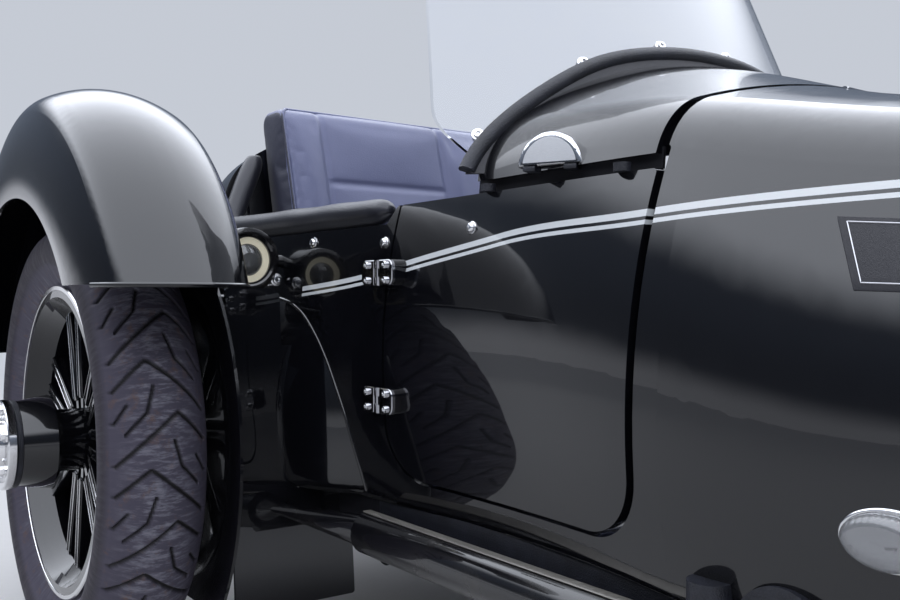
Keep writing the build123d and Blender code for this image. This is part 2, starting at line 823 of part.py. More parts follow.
cross_tube_y = (arm_y - 26, outer_rail_y, outer_rail_y)
with BuildPart() as cross_tubes:
    for x, y in zip(cross_x, cross_tube_y):
        add(bar((x, y, cross_z), (x, inner_rail_y, cross_z), cross_r))
    add(outer_rail_solid, mode=Mode.SUBTRACT)
    add(inner_rail_solid, mode=Mode.SUBTRACT)
    cross_solids = [s for s in cross_tubes.part.solids() if s.volume > 1000]
    cross_tubes.part = Compound(children=cross_solids)
keep("cross_tubes", cross_tubes.part)

pad_y = (400, 760)
pad_half = 30
with BuildPart() as body_pads:
    for x in cross_x:
        for y in pad_y:
            add(block((x - pad_half, x + pad_half), (y - pad_half, y + pad_half), (cross_z, 320)))
        add(bar((x, 0, cross_z), (x, 1200, cross_z), cross_r), mode=Mode.SUBTRACT)
    add(outer_form, mode=Mode.SUBTRACT)
keep("body_pads", body_pads.part)

# Rubber strip under the body's lower edge beside the rail, and the two mounts on the rail
sill_y = (232, 240)
boss_x = 945
boss_r = 18
disc_x = 1008
disc_r = 42
with BuildPart() as sill_mounts:
    sill_bottom = cross_z + cross_r + running_gap
    add(block((outer_rail_x[0] - 20, boss_x - 30), sill_y, (sill_bottom, keel_z + 12)))
    with BuildSketch(Plane.XY.offset(rail_z)):
        with Locations((boss_x, outer_rail_y + 4)):
            Circle(boss_r)
    extrude(amount=62)
    add(bar((disc_x, outer_rail_y + 4, keel_z), (disc_x, sill_y[1] + 20, keel_z), disc_r))
    add(block((disc_x - 60, disc_x + 60), (0, 400), (0, keel_z)), mode=Mode.SUBTRACT)
    add(outer_rail_solid, mode=Mode.SUBTRACT)
    add(outer_form, mode=Mode.SUBTRACT)
    sill_mounts.part = Compound(children=list(sill_mounts.part.solids().sort_by(SortBy.VOLUME)[-3:]))
keep("sill_mounts", sill_mounts.part)

# Swinging arm, carried on the rear cross tube, with the wheel's stub axle at its front
arm_boss_r = 34
hub_boss_r = 27
arm_half = 24
with BuildPart() as swing_arm:
    add(bar((cross_x[0], arm_y, cross_z), (0, arm_y, axle_z), arm_r))
    add(bar((cross_x[0], arm_y - arm_half, cross_z), (cross_x[0], arm_y + arm_half, cross_z), arm_boss_r))
    add(bar((0, arm_y - arm_half, axle_z), (0, arm_y + arm_half, axle_z), hub_boss_r))
    add(
        bar((cross_x[0], 0, cross_z), (cross_x[0], 300, cross_z), cross_r + pin_play),
        mode=Mode.SUBTRACT,
    )
    add(bar((0, 0, axle_z), (0, 300, axle_z), axle_r + pin_play), mode=Mode.SUBTRACT)
keep("swing_arm", swing_arm.part)

with BuildPart() as stub_axle:
    add(bar((0, -hub_half, axle_z), (0, arm_y + arm_half, axle_z), axle_r))
    add(bar((0, hub_half + 4, axle_z), (0, arm_y - arm_half, axle_z), 24))
keep("stub_axle", stub_axle.part)

# Shock absorber in its cover, from the arm to a bracket on the body
shock_foot = (-95, arm_y, cross_z + (cross_x[0] + 95) / cross_x[0] * (axle_z - cross_z))
shock_top = (-60, arm_y, 530)
with BuildPart() as shock:
    foot = Vector(*shock_foot)
    run = (Vector(*shock_top) - foot).normalized()
    length = (Vector(*shock_top) - foot).length
    add(bar(shock_foot, shock_top, 9))
    add(bar(tuple(foot + run * 48), tuple(foot + run * (length - 30)), 26))
    add(bar((shock_top[0], arm_y - 14, shock_top[2]), (shock_top[0], arm_y + 14, shock_top[2]), 16))
    add(bar((cross_x[0], arm_y, cross_z), (0, arm_y, axle_z), arm_r), mode=Mode.SUBTRACT)
    add(bar((shock_top[0], 0, shock_top[2]), (shock_top[0], 300, shock_top[2]), 6), mode=Mode.SUBTRACT)
    shock.part = shock.part.solids().sort_by(SortBy.VOLUME)[-1]
keep("shock", shock.part)

with BuildPart() as shock_bracket:
    add(block((shock_top[0] - 26, shock_top[0] + 26), (arm_y + 15, body_y - 300), (512, 556)))
    add(bar((shock_top[0], arm_y - 22, shock_top[2]), (shock_top[0], arm_y + 20, shock_top[2]), 6 - pin_play))
    add(outer_form, mode=Mode.SUBTRACT)
    shock_bracket.part = shock_bracket.part.solids().sort_by(Axis.Y)[0]
keep("shock_bracket", shock_bracket.part)

# Tapered arm that carries the splash panel from the end of the outer rail
tip_z = rail_z + 8
tip_x = panel_x + (panel_top_z - tip_z) * tan(panel_lean) + panel_thick / 2
with BuildPart() as panel_arm:
    with BuildSketch(Plane(origin=(outer_rail_x[0], outer_rail_y, rail_z), x_dir=(0, 1, 0), z_dir=(-1, 0, 0))):
        Circle(20)
    with BuildSketch(Plane(origin=(tip_x, 160, tip_z), x_dir=(0, 1, 0), z_dir=(-1, 0, 0))):
        Ellipse(16, 5)
    loft()
    add(splash_panel.part, mode=Mode.SUBTRACT)
    add(outer_form, mode=Mode.SUBTRACT)
keep("panel_arm", panel_arm.part)

# Mounts: two lower eyes and two struts with upper eyes
with BuildPart() as lower_mounts:
    for x in lower_mount_x:
        half = lower_mount_long / 2
        z = lower_mount_z
        add(block((x - 16, x + 16), (inner_rail_y, lower_mount_y - half + 6), (z - 13, z + 13)))
        add(bar((x, lower_mount_y - half, z), (x, lower_mount_y + half, z), mount_eye_r))
        add(bar((x, lower_mount_y - half, z), (x, lower_mount_y + half, z), mount_bore_r), mode=Mode.SUBTRACT)
    add(inner_rail_solid, mode=Mode.SUBTRACT)
    lower_solids = lower_mounts.part.solids().sort_by(SortBy.VOLUME)[-2:]
    lower_mounts.part = Compound(children=list(lower_solids))
keep("lower_mounts", lower_mounts.part)

for name, x in zip(("rear_strut", "front_strut"), upper_mount_x):
    with BuildPart() as strut:
        half = upper_mount_long / 2
        eye = (x, upper_mount_y, upper_mount_z)
        add(bar((x, inner_rail_y + rail_r + 9, rail_z - 15), eye, strut_r))
        add(bar((x, upper_mount_y - half, eye[2]), (x, upper_mount_y + half, eye[2]), mount_eye_r))
        add(
            bar((x, upper_mount_y - half - 9, eye[2]), (x, upper_mount_y + half, eye[2]), mount_bore_r),
            mode=Mode.SUBTRACT,
        )
        add(inner_rail_solid, mode=Mode.SUBTRACT)
    keep(name, strut.part)

# Write each piece in the finished part's frame
os.makedirs("parts", exist_ok=True)
home = Location((-lower_mount_x[0], -lower_mount_y, -lower_mount_z))
for name, piece in pieces.items():
    placed = piece.moved(home)
    placed.label = name
    export_step(placed, f"parts/{name}.step")
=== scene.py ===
import json
import math
import random

import bmesh
import bpy
from mathutils import Matrix, Vector
from mathutils.bvhtree import BVHTree


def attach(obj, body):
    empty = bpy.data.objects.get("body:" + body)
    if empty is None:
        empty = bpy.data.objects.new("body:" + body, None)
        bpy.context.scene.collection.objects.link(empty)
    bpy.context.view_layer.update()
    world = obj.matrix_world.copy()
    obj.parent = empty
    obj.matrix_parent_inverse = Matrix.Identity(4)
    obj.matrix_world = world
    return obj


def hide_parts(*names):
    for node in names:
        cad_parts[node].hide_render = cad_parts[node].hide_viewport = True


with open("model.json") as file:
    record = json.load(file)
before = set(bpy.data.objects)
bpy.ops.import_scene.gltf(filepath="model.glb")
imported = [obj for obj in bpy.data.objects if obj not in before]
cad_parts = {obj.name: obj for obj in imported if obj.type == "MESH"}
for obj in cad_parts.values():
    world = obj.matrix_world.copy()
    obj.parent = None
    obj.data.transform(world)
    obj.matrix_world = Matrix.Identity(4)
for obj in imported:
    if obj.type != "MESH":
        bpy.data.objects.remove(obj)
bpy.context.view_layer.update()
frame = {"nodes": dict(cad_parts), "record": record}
nodes = frame["nodes"]
print("frame loaded with", len(nodes), "nodes")

# drawing: millimetres, with X = 0 at the axle, Y = 0 in the tyre's middle plane and Z = 0 on the ground;
# the mount's place there, in metres, is the scene's own origin
drawing = {"mount": (-0.160, 1.010, 0.232), "bodyMiddle": 580, "axleHeight": 320}


def at(x, y, z):
    # a place of the drawing, in metres in the scene
    return Vector((x, y, z)) / 1000 - Vector(drawing["mount"])


class Socket:
    # one socket of a material, with the sums that shader maths needs
    def __init__(self, shader, link):
        self.shader = shader
        self.link = link

    def sums(self, operation, other, flipped=False):
        first, second = (other, self) if flipped else (self, other)
        return self.shader.node("ShaderNodeMath", {"operation": operation}, {0: first, 1: second})

    def __add__(self, other):
        return self.sums("ADD", other)

    def __radd__(self, other):
        return self.sums("ADD", other, True)

    def __sub__(self, other):
        return self.sums("SUBTRACT", other)

    def __rsub__(self, other):
        return self.sums("SUBTRACT", other, True)

    def __mul__(self, other):
        return self.sums("MULTIPLY", other)

    def __rmul__(self, other):
        return self.sums("MULTIPLY", other, True)

    def __gt__(self, other):
        return self.sums("GREATER_THAN", other)

    def __lt__(self, other):
        return self.sums("LESS_THAN", other)

    def __abs__(self):
        return self.sums("MAXIMUM", self * -1)


class Shader:
    # a new material or world, its surface shader and the nodes that feed it
    def __init__(self, name, world=False, **fixed):
        self.material = (bpy.data.worlds if world else bpy.data.materials).new(name)
        self.material.use_nodes = True
        self.tree = self.material.node_tree
        self.surface = self.tree.nodes["Background" if world else "Principled BSDF"]
        self.place = self.node("ShaderNodeTexCoord", out="Generated" if world else "Object")
        self.set(**fixed)

    def node(self, kind, settings=None, inputs=None, out=0):
        made = self.tree.nodes.new(kind)
        for name, value in (settings or {}).items():
            if name == "stops":
                ramp = made.color_ramp.elements
                while len(ramp) < len(value):
                    ramp.new(0.5)
                for element, (stop, colour) in zip(ramp, value):
                    element.position = stop
                    element.color = (*colour, 1)
            elif name == "interpolation":
                made.color_ramp.interpolation = value
            else:
                setattr(made, name, value)
        for name, value in (inputs or {}).items():
            self.feed(made.inputs[name], value)
        return Socket(self, made.outputs[out])

    def feed(self, socket, value):
        if isinstance(value, Socket):
            self.tree.links.new(value.link, socket)
        elif socket.type == "RGBA":
            socket.default_value = (*value, 1)
        else:
            socket.default_value = value

    def set(self, **values):
        for name, value in values.items():
            words = "".join(" " + c if c.isupper() else c for c in name).title()
            self.feed(self.surface.inputs[words.replace("Ior", "IOR")], value)
        return self

    def axis(self, name):
        return self.node("ShaderNodeSeparateXYZ", inputs={0: self.place}, out=name)

    def noise(self, scale, detail=3.0, rough=0.6, where=None):
        return self.node("ShaderNodeTexNoise", inputs={
            "Vector": where or self.place, "Scale": scale, "Detail": detail, "Roughness": rough}, out="Fac")

    def cells(self, scale):
        return self.node("ShaderNodeTexVoronoi", inputs={"Vector": self.place, "Scale": scale}, out="Distance")

    def stretched(self, scale):
        return self.node("ShaderNodeMapping", inputs={"Vector": self.place, "Scale": scale})

    def ramp(self, value, stops, interpolation):
        wide = [(stop, colour if isinstance(colour, tuple) else (colour,) * 3) for stop, colour in stops]
        return self.node("ShaderNodeValToRGB", {"stops": wide, "interpolation": interpolation}, {0: value})

    def mix(self, amount, first, second):
        return self.node("ShaderNodeMix", {"data_type": "RGBA"}, {0: amount, 6: first, 7: second}, 2)

    def between(self, value, low, high, lowOut=0.0, highOut=1.0):
        return self.node("ShaderNodeMapRange", inputs={0: value, 1: low, 2: high, 3: lowOut, 4: highOut})

    def bump(self, height, distance, strength=1.0):
        made = self.node("ShaderNodeBump", inputs={"Height": height, "Distance": distance, "Strength": strength})
        return self.set(normal=made)


# black lacquer: two pale coach lines, road dust low down and faint orange peel
paintLook = {"colour": (0.0035, 0.0037, 0.0055), "dust": (0.035, 0.032, 0.034),
             "lineColour": (0.74, 0.78, 0.82), "upperWide": 0.0031, "lowerWide": 0.0020, "apart": 0.0083}
coachLine = {"from": 200, "to": 1600, "low": 400, "high": 700,
             "points": ((265, 531), (470, 553), (670, 581), (870, 591), (1070, 598), (1240, 596), (1390, 576),
                        (1500, 534), (1572, 478))}


def lacquer(name, lined=False, **fixed):
    made = Shader(name, coatWeight=1.0, coatRoughness=0.015, coatIor=1.5, specularIorLevel=0.1, **fixed)
    low = made.between(made.axis("Z"), -0.20, 0.25, 1.0, 0.0)
    speck = made.between(made.noise(900, 2.0), 0.60, 0.72)
    cloudy = made.between(made.noise(7, 4.0), 0.35, 0.75)
    dusty = low * (speck * 0.35 + cloudy * 0.10)
    colour = made.mix(dusty, paintLook["colour"], paintLook["dust"])
    rough = made.between(made.noise(30, 4.0), 0.3, 0.8, 0.16, 0.24) + dusty * 0.4
    if lined:
        along = made.axis("X")
        left, right = (at(coachLine[end], 0, 0).x for end in ("from", "to"))
        bottom, top = (at(0, 0, coachLine[end]).z for end in ("low", "high"))
        stops = [((x - coachLine["from"]) / (coachLine["to"] - coachLine["from"]),
                  (z - coachLine["low"]) / (coachLine["high"] - coachLine["low"])) for x, z in coachLine["points"]]
        grey = made.ramp(made.between(along, left, right), stops, "CARDINAL")
        middle = made.between(made.node("ShaderNodeSeparateColor", inputs={0: grey}), 0, 1, bottom, top)
        off = made.axis("Z") - middle
        upper = abs(off - paintLook["apart"] / 2) < paintLook["upperWide"]
        lower = abs(off + paintLook["apart"] / 2) < paintLook["lowerWide"]
        started = along > at(coachLine["points"][0][0], 0, 0).x
        colour = made.mix((upper + lower) * started, colour, paintLook["lineColour"])
    made.set(baseColor=colour, roughness=rough)
    peel = made.noise(260, 1.0)
    return made.bump(peel, 0.00002, 0.35)


blackPaint = lacquer("black_lacquer")
linedPaint = lacquer("lined_lacquer", lined=True)

framePaint = Shader("frame_enamel", coatWeight=1.0, coatRoughness=0.02, specularIorLevel=0.15)
grime = framePaint.between(framePaint.noise(22, 5.0), 0.5, 0.8)
framePaint.set(baseColor=framePaint.mix(grime, (0.006, 0.006, 0.008), (0.02, 0.018, 0.017)),
               roughness=framePaint.between(grime, 0, 1, 0.22, 0.40))
framePaint.bump(framePaint.noise(140, 2.0), 0.00002, 0.3)

steel = Shader("polished_steel", metallic=1.0)
scuffs = steel.noise(240, 4.0, where=steel.stretched((1, 1, 6)))
steel.set(baseColor=steel.mix(steel.noise(9), (0.66, 0.66, 0.67), (0.80, 0.80, 0.81)),
          roughness=steel.between(scuffs, 0.3, 0.8, 0.08, 0.2))
steel.bump(scuffs, 0.00003, 0.3)

rubber = Shader("grained_rubber", specularIorLevel=0.45)
pebble = rubber.cells(620)
faded = rubber.between(rubber.noise(40), 0.4, 0.7)
rubber.set(baseColor=rubber.mix(faded, (0.010, 0.011, 0.016), (0.020, 0.022, 0.032)),
           roughness=rubber.between(pebble, 0.0, 0.7, 0.62, 0.42))
rubber.bump(pebble, 0.0006, 0.6)

# a copy of the rubber darker than its own tone: painted shade, used for the band under the cowl's edge and for the
# sill flap
shadedRubber = Shader("shaded_rubber", specularIorLevel=0.2, roughness=0.7)
shadedRubber.set(baseColor=shadedRubber.mix(shadedRubber.noise(60), (0.004, 0.004, 0.006), (0.009, 0.009, 0.012)))
shadedRubber.bump(shadedRubber.noise(500), 0.0002, 0.4)

texturedBlack = Shader("textured_black")
crackle = texturedBlack.noise(1400, 2.0)
texturedBlack.set(baseColor=texturedBlack.mix(crackle, (0.010, 0.010, 0.014), (0.024, 0.024, 0.030)),
                  roughness=texturedBlack.between(crackle, 0.3, 0.7, 0.7, 0.45))
texturedBlack.bump(crackle, 0.0004, 0.6)


def vinyl(name, dark, light, rough, panels=None):
    # grained vinyl; panels gives the half width past which the sides are a darker tone, and that tone
    made = Shader(name, specularIorLevel=0.45, sheenWeight=0.12, sheenRoughness=0.4)
    grain = made.cells(420)
    fine = made.noise(1500, 2.0)
    colour = made.mix(made.between(made.noise(5, 4.0), 0.3, 0.7), dark, light)
    if panels:
        half, tone = panels
        outside = abs(made.axis("Y") - at(0, drawing["bodyMiddle"], 0).y) > half
        colour = made.mix(outside, colour, tone)
    made.set(baseColor=colour, roughness=made.between(grain, 0.0, 0.6, rough + 0.12, rough - 0.04))
    return made.bump(grain + fine * 0.35, 0.00035, 0.45)


greyVinyl = vinyl("grey_vinyl", (0.150, 0.168, 0.300), (0.195, 0.215, 0.365), 0.40,
                  panels=(0.2455, (0.040, 0.043, 0.070)))
blackVinyl = vinyl("black_vinyl", (0.011, 0.012, 0.018), (0.022, 0.023, 0.034), 0.36)

# worn tyre: painted shade darkens the grooves below the rubber's own tone, with a scuffed grey crown and brown dust
# towards the shoulders
tyreLook = {"flank": (0.034, 0.030, 0.040), "tread": (0.070, 0.064, 0.092), "worn": (0.30, 0.30, 0.36),
            "groove": (0.010, 0.009, 0.010), "dust": (0.16, 0.085, 0.045)}
tyreRubber = Shader("tyre_rubber", specularIorLevel=0.35)
crossY = tyreRubber.axis("Y") - at(0, 0, 0).y
downZ = tyreRubber.axis("Z") - at(0, 0, drawing["axleHeight"]).z
aheadX = tyreRubber.axis("X") - at(0, 0, 0).x
turnAround = tyreRubber.node("ShaderNodeMath", {"operation": "ARCTAN2"}, {0: downZ, 1: aheadX})
fromAxle = tyreRubber.node("ShaderNodeVectorMath", {"operation": "LENGTH"}, {0: tyreRubber.node(
    "ShaderNodeCombineXYZ", inputs={0: aheadX, 1: 0.0, 2: downZ})}, "Value")
wrapped = tyreRubber.node("ShaderNodeCombineXYZ",
                          inputs={0: turnAround * 0.32, 1: crossY * 0.22, 2: fromAxle * 0.22})
scratch = tyreRubber.noise(150, 5.0, 0.7, where=wrapped)
blotch = tyreRubber.noise(45, 4.0, 0.65, where=wrapped)
crown = tyreRubber.between(abs(crossY + blotch * 0.03 - 0.012), 0.052, 0.018)
wear = crown * tyreRubber.between(scratch, 0.47, 0.64)
# the groove mask paints shade into the cut recesses of the tread
grooveShade = tyreRubber.node("ShaderNodeAttribute", {"attribute_name": "groove"}, out="Fac")
onTread = tyreRubber.between(abs(crossY), 0.064, 0.058)
treadTone = tyreRubber.mix(onTread, tyreLook["flank"], tyreLook["tread"])
treadTone = tyreRubber.mix(wear * 0.55, treadTone, tyreLook["worn"])
dustMask = tyreRubber.between(tyreRubber.noise(60, 6.0, 0.7), 0.56, 0.72) * onTread
treadTone = tyreRubber.mix(dustMask * 0.5, treadTone, tyreLook["dust"])
tyreRubber.set(baseColor=tyreRubber.mix(grooveShade, treadTone, tyreLook["groove"]),
               roughness=tyreRubber.between(scratch, 0.3, 0.7, 0.82, 0.5))
tyreRubber.bump(scratch + tyreRubber.noise(900, 2.0) * 0.4, 0.0009, 0.55)

clearScreen = Shader("clear_screen", roughness=0.0, transmissionWeight=1.0, ior=1.45)
clearScreen.set(baseColor=clearScreen.mix(clearScreen.noise(14, 4.0), (0.93, 0.95, 1.0), (0.98, 0.99, 1.0)))
clearLens = Shader("clear_lens", baseColor=(0.86, 0.88, 0.92), transmissionWeight=0.85, ior=1.45, coatWeight=1.0)
clearLens.set(roughness=clearLens.between(clearLens.noise(60), 0.3, 0.8, 0.03, 0.10))
clearLens.bump(clearLens.node("ShaderNodeTexWave", {"bands_direction": "X"}, {0: clearLens.place, "Scale": 70.0},
                              "Fac"), 0.0008, 0.5)
redLens = Shader("red_lens", coatWeight=1.0, coatRoughness=0.02, transmissionWeight=0.25)
ribs = redLens.node("ShaderNodeTexWave", {"bands_direction": "Z"}, {0: redLens.place, "Scale": 60.0}, "Fac")
redLens.set(baseColor=redLens.mix(ribs, (0.30, 0.006, 0.006), (0.50, 0.012, 0.010)), roughness=0.2)
redLens.bump(ribs, 0.0008, 0.5)
cream = Shader("cream_diffuser", coatWeight=0.6, coatRoughness=0.1, emissionStrength=0.25)
milky = cream.mix(cream.noise(45), (0.80, 0.74, 0.56), (0.88, 0.84, 0.68))
cream.set(baseColor=milky, emissionColor=milky, roughness=cream.between(cream.noise(200), 0.3, 0.7, 0.25, 0.4))

finishes = {"black_paint": blackPaint, "frame_paint": framePaint, "polished_steel": steel,
            "black_rubber": rubber, "textured_black": texturedBlack, "grey_vinyl": greyVinyl,
            "black_vinyl": blackVinyl, "tyre_rubber": tyreRubber, "clear_screen": clearScreen,
            "clear_lens": clearLens, "red_lens": redLens, "lamp_cream": cream}
slotOf = {piece["node"]: piece["material_slot"] for piece in frame["record"]["subparts"]}
linedNodes = ("body_tub", "door", "nose_shell")
for name, obj in nodes.items():
    obj.data.materials.clear()
    obj.data.materials.append((linedPaint if name in linedNodes else finishes[slotOf[name]]).material)
print("finishes given to", len(slotOf), "nodes")


# shared making: the ways along the drawing's axes, and what every piece goes through
forward, inboard, outboard, upright = (Vector(way) for way in ((1, 0, 0), (0, 1, 0), (0, -1, 0), (0, 0, 1)))


def linked(name, data):
    # a new object that stands in the scene
    obj = bpy.data.objects.new(name, data)
    bpy.context.scene.collection.objects.link(obj)
    return obj


def meshOf(name, shape):
    # a mesh from a bmesh, which is used up
    data = bpy.data.meshes.new(name)
    shape.to_mesh(data)
    shape.free()
    return data


def keepPiece(name, shape, shader, body="sidecar", stands=(), sharp=35):
    # a finished piece from its bmesh, riding on its body
    bmesh.ops.recalc_face_normals(shape, faces=shape.faces)
    for face in shape.faces:
        face.smooth = True
    for edge in shape.edges:
        edge.smooth = edge.calc_face_angle(0) < math.radians(sharp)
    data = meshOf(name, shape)
    data.materials.append(shader.material)
    return keepObject(linked(name, data), body, stands)


def keepObject(obj, body="sidecar", stands=()):
    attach(obj, body)
    if stands:
        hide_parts(*stands)
    return obj


def merged(name):
    # a joined-up copy of a node's mesh
    shape = bmesh.new()
    shape.from_mesh(nodes[name].data)
    bmesh.ops.remove_doubles(shape, verts=shape.verts, dist=0.00002)
    return shape


def treeOf(*names):
    shape = bmesh.new()
    for name in names:
        shape.from_mesh(nodes[name].data)
    tree = BVHTree.FromBMesh(shape)
    shape.free()
    return tree


sideTree = treeOf("body_tub", "door", "nose_shell")
camera = {"place": (1.585, -1.400, 0.288), "turn": 54, "lens": 38, "pixels": 950, "middle": (450, 300)}


def struck(tree, start, way):
    # where a line first meets a surface, and the surface's normal on the side that it comes from
    place, normal, _, _ = tree.ray_cast(start, way)
    if place is None:
        return None, None
    return place, (normal if normal.dot(way) < 0 else -normal)


def seen(tree, across, down):
    # where the sight line through one place of the 900 by 600 frame meets a surface
    turn = math.radians(camera["turn"])
    ahead = Vector((-math.sin(turn), math.cos(turn), 0)) * camera["pixels"]
    right = Vector((math.cos(turn), math.sin(turn), 0)) * (across - camera["middle"][0])
    way = (ahead + right + Vector((0, 0, camera["middle"][1] - down))).normalized()
    return struck(tree, Vector(camera["place"]), way)


def beside(tree, x, z):
    # the body's outer side at a length and a height of the drawing
    return struck(tree, at(x, -400, z), inboard)


def standing(place, normal):
    return Matrix.Translation(place) @ normal.to_track_quat("Z", "Y").to_matrix().to_4x4()


def bevelled(shape, edges, offset, segments=2):
    bmesh.ops.bevel(shape, geom=list(edges), offset=offset, affect="EDGES", segments=segments, profile=0.5,
                    material=-1)


def block(shape, matrix, size):
    # a box whose size is in millimetres
    bmesh.ops.create_cube(shape, size=1, matrix=matrix @ Matrix.Diagonal((*(side / 1000 for side in size), 1)))


def cutBack(shape, place, way):
    # takes away what lies past a plane and closes the cut
    bmesh.ops.bisect_plane(shape, geom=shape.verts[:] + shape.edges[:] + shape.faces[:], dist=1e-6,
                           plane_co=place, plane_no=way, clear_outer=True)
    bmesh.ops.holes_fill(shape, edges=[edge for edge in shape.edges if edge.is_boundary])


def disc(shape, matrix, radius, bottom, top, sides=24, chamfer=0.0, upperRadius=None):
    # a round or many-sided stub along a matrix's z, with a chamfered upper edge
    made = bmesh.ops.create_cone(shape, cap_ends=True, segments=sides, radius1=radius,
                                 radius2=radius if upperRadius is None else upperRadius, depth=top - bottom,
                                 matrix=matrix @ Matrix.Translation((0, 0, (top + bottom) / 2)))
    if chamfer:
        axis = matrix.to_3x3() @ Vector((0, 0, 1))
        level = (matrix @ Vector((0, 0, top))).dot(axis)
        rim = {edge for vert in made["verts"] for edge in vert.link_edges
               if all(abs(end.co.dot(axis) - level) < 1e-6 for end in edge.verts)}
        bevelled(shape, rim, chamfer)


boltHead = {"chamfer": 0.14, "socketDeep": 0.6}  # shares of the head's radius and height


def socketHead(shape, place, normal, radius, height, hexRadius):
    # a cap bolt with a six-sided socket sunk in its head
    matrix = standing(place, normal)
    disc(shape, matrix, radius, -0.002, height, chamfer=radius * boltHead["chamfer"])
    axis = matrix.to_3x3() @ Vector((0, 0, 1))
    level = (matrix @ Vector((0, 0, height))).dot(axis)
    top = [face for face in shape.faces if len(face.verts) > 12
           and abs(face.calc_center_median().dot(axis) - level) < 1e-5
           and (face.calc_center_median() - place).length < height + radius]
    for face in top:
        border = radius - hexRadius - radius * boltHead["chamfer"]
        bmesh.ops.inset_individual(shape, faces=[face], thickness=border)
        floor = bmesh.ops.extrude_discrete_faces(shape, faces=[face])["faces"]
        bmesh.ops.translate(shape, verts=floor[0].verts, vec=-axis * height * boltHead["socketDeep"])


def turnedRing(shape, profile, centre, axis, steps=96):
    # a ring spun round a level axis from its section, in millimetres along the axis and away from it
    verts = [shape.verts.new(centre + axis * (along / 1000) + upright * (out / 1000)) for along, out in profile]
    edges = [shape.edges.new((verts[i], verts[(i + 1) % len(verts)])) for i in range(len(verts))]
    bmesh.ops.spin(shape, geom=verts + edges, cent=centre, axis=axis, angle=2 * math.pi, steps=steps,
                   use_merge=True)


def bentTube(name, points, radius, sides=4, order=3, steps=6, closed=False):
    # a curve with a round section through a few points, each with its share of the radius
    curve = bpy.data.curves.new(name, "CURVE")
    curve.dimensions = "3D"
    curve.bevel_depth = radius
    curve.bevel_resolution = sides
    curve.use_fill_caps = not closed
    line = curve.splines.new("NURBS")
    line.points.add(len(points) - 1)
    for point, (place, share) in zip(line.points, points):
        point.co = (*place, 1)
        point.radius = share
    line.order_u = order
    line.use_endpoint_u = not closed
    line.use_cyclic_u = closed
    line.resolution_u = steps
    return linked(name, curve)


def tube(name, points, radius, shader, closed=False):
    # a smooth round bead or pipe
    obj = bentTube(name, [(place, 1.0) for place in points], radius, closed=closed)
    obj.data.materials.append(shader.material)
    return keepObject(obj)


# tyre: a spun carcass whose tread is pressed in along arrow grooves and short slashes
tyre = {"radius": 320, "crownRadius": 72.75, "treadReach": 61, "treadFrom": 294.5, "treadParts": 60, "steps": 960,
        "wall": [(41.7, 205), (41.7, 222), (47, 229), (54, 240), (60, 251), (62.2, 252.5), (63.6, 257),
                 (65.3, 262), (66, 268), (65.6, 275), (64.2, 281), (61.8, 287), (58.8, 291.5)],
        "pitch": 137, "apex": 17, "knee": 5, "slope": 0.85, "grooveDeep": 4.2, "grooveHalf": 2.4,
        "edgeIn": 0.9, "edgeOut": 1.1,
        "slashes": (((-56, 43), (-78, 60)), ((-35, 11), (-67, 20)), ((-67, 20), (-93, 46))), "slashHalf": 1.9}


def treadSegments():
    # centre lines of the grooves in one pitch: distance round the tyre and across its crown
    made = []
    slope, bent = tyre["slope"], tyre["knee"]
    for side, start in ((-1, 0.0), (1, tyre["pitch"] / 2)):
        apex = side * tyre["apex"]
        for end in (-1, 1):
            far = end * (tyre["treadReach"] - 2)
            knee = (start - slope * bent, apex + end * bent)
            made.append((start - 1.0, apex, *knee, tyre["grooveHalf"]))
            made.append((*knee, start - slope * abs(far - apex), far, tyre["grooveHalf"]))
        for (down, out), (lower, further) in tyre["slashes"]:
            made.append((start + down, side * out, start + lower, side * further, tyre["slashHalf"]))
    return made


grooveKnown = {}


def grooveAt(around, across, segments):
    # how deep the tread is cut there, from 0 to 1; every pitch repeats the first one's answers
    spot = (round(around, 2), round(across, 2))
    if spot not in grooveKnown:
        grooveKnown[spot] = grooveDepth(around, across, segments)
    return grooveKnown[spot]


def grooveDepth(around, across, segments):
    deepest = 0.0
    for shift in (-tyre["pitch"], 0.0, tyre["pitch"]):
        for s0, u0, s1, u1, half in segments:
            ds, du = s1 - s0, u1 - u0
            t = max(0.0, min(1.0, ((around + shift - s0) * ds + (across - u0) * du) / (ds * ds + du * du)))
            gap = math.hypot(around + shift - s0 - t * ds, across - u0 - t * du)
            if gap < half + tyre["edgeOut"]:
                past = (gap - half + tyre["edgeIn"]) / (tyre["edgeIn"] + tyre["edgeOut"])
                deepest = max(deepest, 1 - max(0.0, past))
    return min(1.0, deepest)


def tyreSection():
    # half widths and radii from one bead over the crown to the other
    crown, reach = tyre["crownRadius"], tyre["treadReach"]
    tread = []
    for step in range(tyre["treadParts"] + 1):
        u = -reach + 2 * reach * step / tyre["treadParts"]
        tread.append((crown * math.sin(u / crown), tyre["radius"] - crown * (1 - math.cos(u / crown))))
    return [(-y, r) for y, r in tyre["wall"]] + tread + tyre["wall"][::-1]


axle = at(0, 0, drawing["axleHeight"])
tyreShape = bmesh.new()
turnedRing(tyreShape, tyreSection(), axle, inboard, tyre["steps"])
